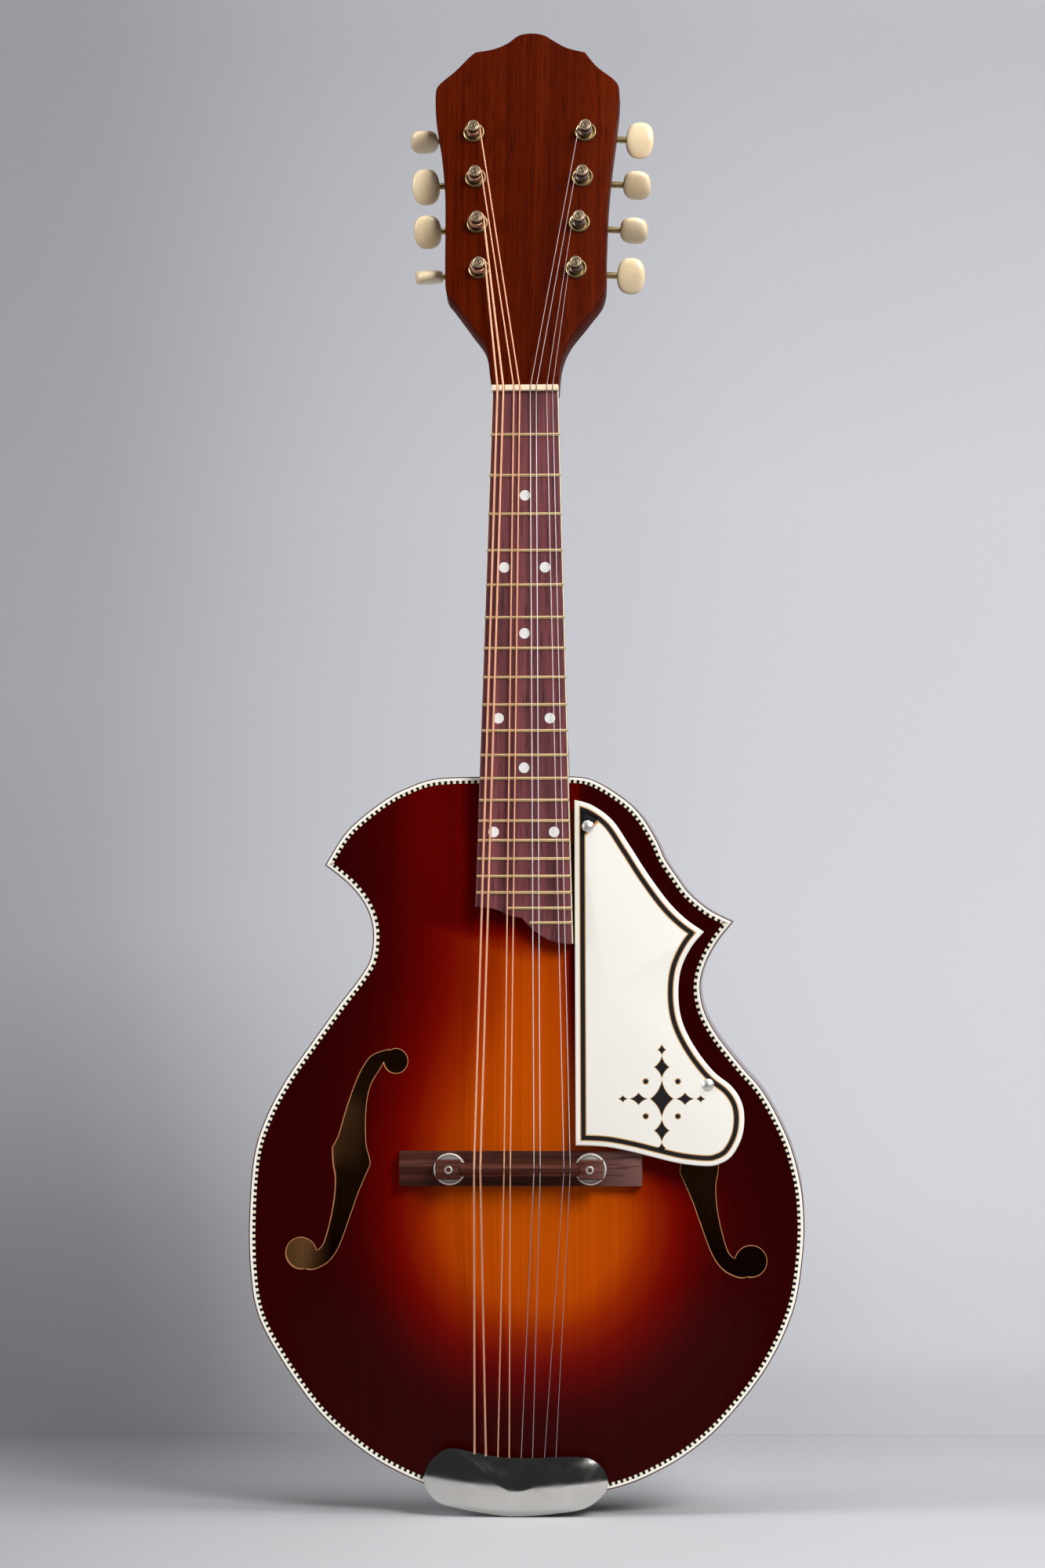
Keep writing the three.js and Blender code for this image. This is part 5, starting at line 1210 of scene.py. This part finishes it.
ink_paint = two_tone("black_inlay", (300.0, 3.0), (0.006, 0.005, 0.007), (0.016, 0.014, 0.016),
                     Roughness=0.4, Specular_IOR_Level=0.2)
gold_paint = two_tone("gold_line", (500.0, 3.0), (0.72, 0.40, 0.12), (0.52, 0.26, 0.07),
                      Metallic=0.35, Roughness=0.42)
gold, black = (gold_paint, 0.015), (ink_paint, 0.03)


def add_guard(name, grid, paint, angle=40, wrap_rows=False):
    add(name, from_neck(grid), paint, "pickguard", "ivory", angle=angle, wrap_rows=wrap_rows)


def inlay(name, outer, inner, paint, proud):
    """A thin band let into the plate between two distances from its edge, just proud of its face."""
    front, rear = guard_front - proud, guard_front + inlay_depth
    add_guard(name, section_round(guard_line, [(outer, rear), (outer, front), (inner, front), (inner, rear)]),
              paint, wrap_rows=True)


def filled(name, line, paint, proud):
    patch = slab(line, guard_front - proud, guard_front + inlay_depth, 0.01, line.mean(axis=0), 1)
    add_guard(name, patch, paint)


def bowed_polygon(corners, bow, count=14):
    """A closed line through corners whose sides are bowed inwards by a share of their length."""
    corners = np.asarray(corners, float)
    t = np.linspace(0, 1, count, endpoint=False)[:, None]
    return np.concatenate([a + (b - a) * t + np.array([a[1] - b[1], b[0] - a[0]]) * bow * 4 * t * (1 - t)
                           for a, b in zip(corners, np.roll(corners, -1, axis=0))])


guard_middle = (guard_left + 15, -guard_top - 85)
add_guard("ivory_guard", slab(guard_line, guard_front, guard_back, 0.7, guard_middle), ivory_paint, 50)
inlay("guard_gold_line", 2.1, 4.95, *gold)
inlay("guard_black_stripe", 2.55, 4.5, *black)
guard_corner = (guard_left, -guard_top)
filled("guard_wedge_gold", bowed_polygon([(2.7, -19.0), (12.6, -8.4), (2.7, -3.8)], 0.0) + guard_corner,
       gold_paint, 0.01)
filled("guard_wedge_black", bowed_polygon([(3.1, -17.5), (11.5, -8.0), (3.1, -4.4)], 0.0) + guard_corner,
       *black)
ornament = np.array([guard_left + 39.5, -guard_top - 134.5])
for number, (x, z, w, h) in enumerate([
        (0, 0, 5.0, 8.0), (0, 14.2, 3.2, 4.8), (0, -14.2, 3.2, 4.8), (10.4, 0, 3.9, 2.6),
        (-10.4, 0, 3.9, 2.6), (0, 22.0, 1.7, 2.2), (0, -22.0, 1.7, 2.2), (17.4, 0, 1.9, 1.4),
        (-17.4, 0, 1.9, 1.4)], 1):
    for kind, grow, look in (("gold", 0.45, gold), ("black", 0.0, black)):
        a, b = w + grow, h + grow * h / w
        filled(f"ornament_{number}_{kind}",
               bowed_polygon([(a, 0), (0, b), (-a, 0), (0, -b)], 0.10) + ornament + (x, z), *look)
for number, spot in enumerate([(7.2, 7.8), (-7.2, 7.8), (7.2, -7.8), (-7.2, -7.8)], 1):
    for kind, radius, look in (("gold", 1.45, gold), ("black", 1.05, black)):
        filled(f"ornament_dot_{number}_{kind}", circle(ornament + spot, radius, 28), *look)

for name, (x, z), turn in (("upper", upper_screw, 1.0), ("lower", lower_screw, 0.55)):
    head = slotted_dome(2.7, 1.6, turn=turn) + (x, guard_front - 0.02, z)
    shank = turned([(0, 0), (1.6, 0), (1.6, 6), (0, 6.5)], (x, guard_front, z), 24)
    for title, grid, paint in (("", head, turned_paint), ("shank_", shank, nickel_paint)):
        add(f"guard_screw_{title}{name}", from_neck(grid), paint, f"pickguard_screw_{name}", "nickel",
            angle=35)
post = from_neck(turned([(0, 5.6), (4.6, 5.6), (4.8, 5.9), (4.6, 6.6), (3.4, 7.2), (2.9, 9.0), (3.4, 12),
                         (4.2, 13.0), (4.4, 30), (0, 30)], (lower_screw[0], 0, lower_screw[1])))
post[-2:, :, 1] = top_surface(post[-2:, :, 0], post[-2:, :, 2]) - 0.08
add("guard_post", post, nickel_paint, "pickguard_post", "nickel", angle=35)

# Strings. The four lower ones are steel wound with bronze wire, the four upper ones plain
# steel. Each is wound on its post, runs over nut and saddle, and is looped on its hook.
winding_step = 0.28
thick_size = 0.5
thick_turns, thin_turns = 3.25, 4.25
post_waist = 2.66
loop_radius = 0.85
knot_rise = 3.4
bronze_paint = two_tone("bronze_wound_string", (60.0, 3.0), (0.82, 0.45, 0.29), (0.62, 0.30, 0.18),
                        Metallic=0.85, Roughness=0.45)
wire_u = bronze_paint.split(bronze_paint.node("ShaderNodeUVMap", {}), 1)[0]
bronze_paint.finish(Normal=(abs((wire_u % 1.0) - 0.5) * 2.0).bump(0.35, 0.00006))
steel_paint = Paint("plain_steel_string", Metallic=0.8, Roughness=0.42)
rubbed = steel_paint.cloud(80.0, 3.0)
up = steel_paint.place()[2]
# The plain strings are painted bright from a little above the saddle to a little below the nut, and dim on
# the head and on the run to the tail: a painted reflection.
painted_reflection = up.level(-0.375, -0.335) * up.level(-0.03, 0.0, 1.0, 0.0)
steel_outside_painted_reflection = rubbed.mix((0.40, 0.32, 0.32), (0.28, 0.22, 0.22))
painted_reflection_steel = rubbed.mix((0.84, 0.78, 0.80), (0.62, 0.56, 0.58))
steel_paint.finish(Base_Color=painted_reflection.mix(steel_outside_painted_reflection, painted_reflection_steel))


def add_wire(name, node, path, radius, look):
    """A string's stretch, a tube along its path between two places."""
    paint, slot = look
    length = length_along(path) / winding_step
    uv = np.stack(np.meshgrid(np.pad(length, 1, "edge"), np.linspace(0, 1, 13), indexing="ij"), axis=2)
    piece = grid_piece(name, capped(tube(path, radius)), paint, uv=uv, angle=60)
    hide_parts(node)
    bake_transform(piece)


for k, size in enumerate(string_sizes):
    radius = size / 2
    wound = k < wound_count
    side, post = (-1, k) if wound else (1, 7 - k)
    look = (bronze_paint, "bronze") if wound else (steel_paint, "string_steel")
    along = post * post_step
    centre = np.array([side * (strip_x + along * math.sin(strip_lean)),
                       first_post + along * math.cos(strip_lean)])
    nut_point = np.array([nut_x[k], -nut_action - radius, nut_length / 2])
    start = tipped(nut_point - (0, board_thickness, nut_length), -head_pitch)
    turn_radius = post_waist + radius
    toward = start[[0, 2]] - centre
    meeting = math.atan2(toward[1], toward[0]) - side * math.acos(turn_radius / np.hypot(*toward))
    turns = thick_turns if size > thick_size else thin_turns
    steps = np.linspace(0, turns, int(turns * 32) + 1)
    angle = meeting - side * steps * 2 * np.pi
    winding = xyz(centre[0] + turn_radius * np.cos(angle), start[1] + steps * (size * 1.03 + 0.02),
                  centre[1] + turn_radius * np.sin(angle))
    behind = np.linspace(winding[0], start, 12)[1:-1]
    at_nut = from_neck(nut_point)
    at_saddle = np.array([saddle_x[k], saddle_y - radius, saddle_z])
    path = np.concatenate([from_head(winding[::-1]), from_head(behind), np.linspace(at_nut, at_saddle, 40)])
    node = f"string_{k + 1}"
    add_wire(f"{node}_speaking", node, path, radius, look)
    turn = np.linspace(0, np.pi, 15)
    knot = np.array([tail_x[k], tail_front, hook_z + knot_rise])
    loop = xyz(np.cos(turn), 0, -np.sin(turn)) * (loop_radius + radius)
    path = np.concatenate([np.linspace(at_saddle, knot, 30), loop + (tail_x[k], tail_front, hook_z),
                           [knot + (-size * 0.6, 0, -0.6), knot + (-size, 0, 2.0)]])
    add_wire(f"{node}_tail", node, path, radius, look)
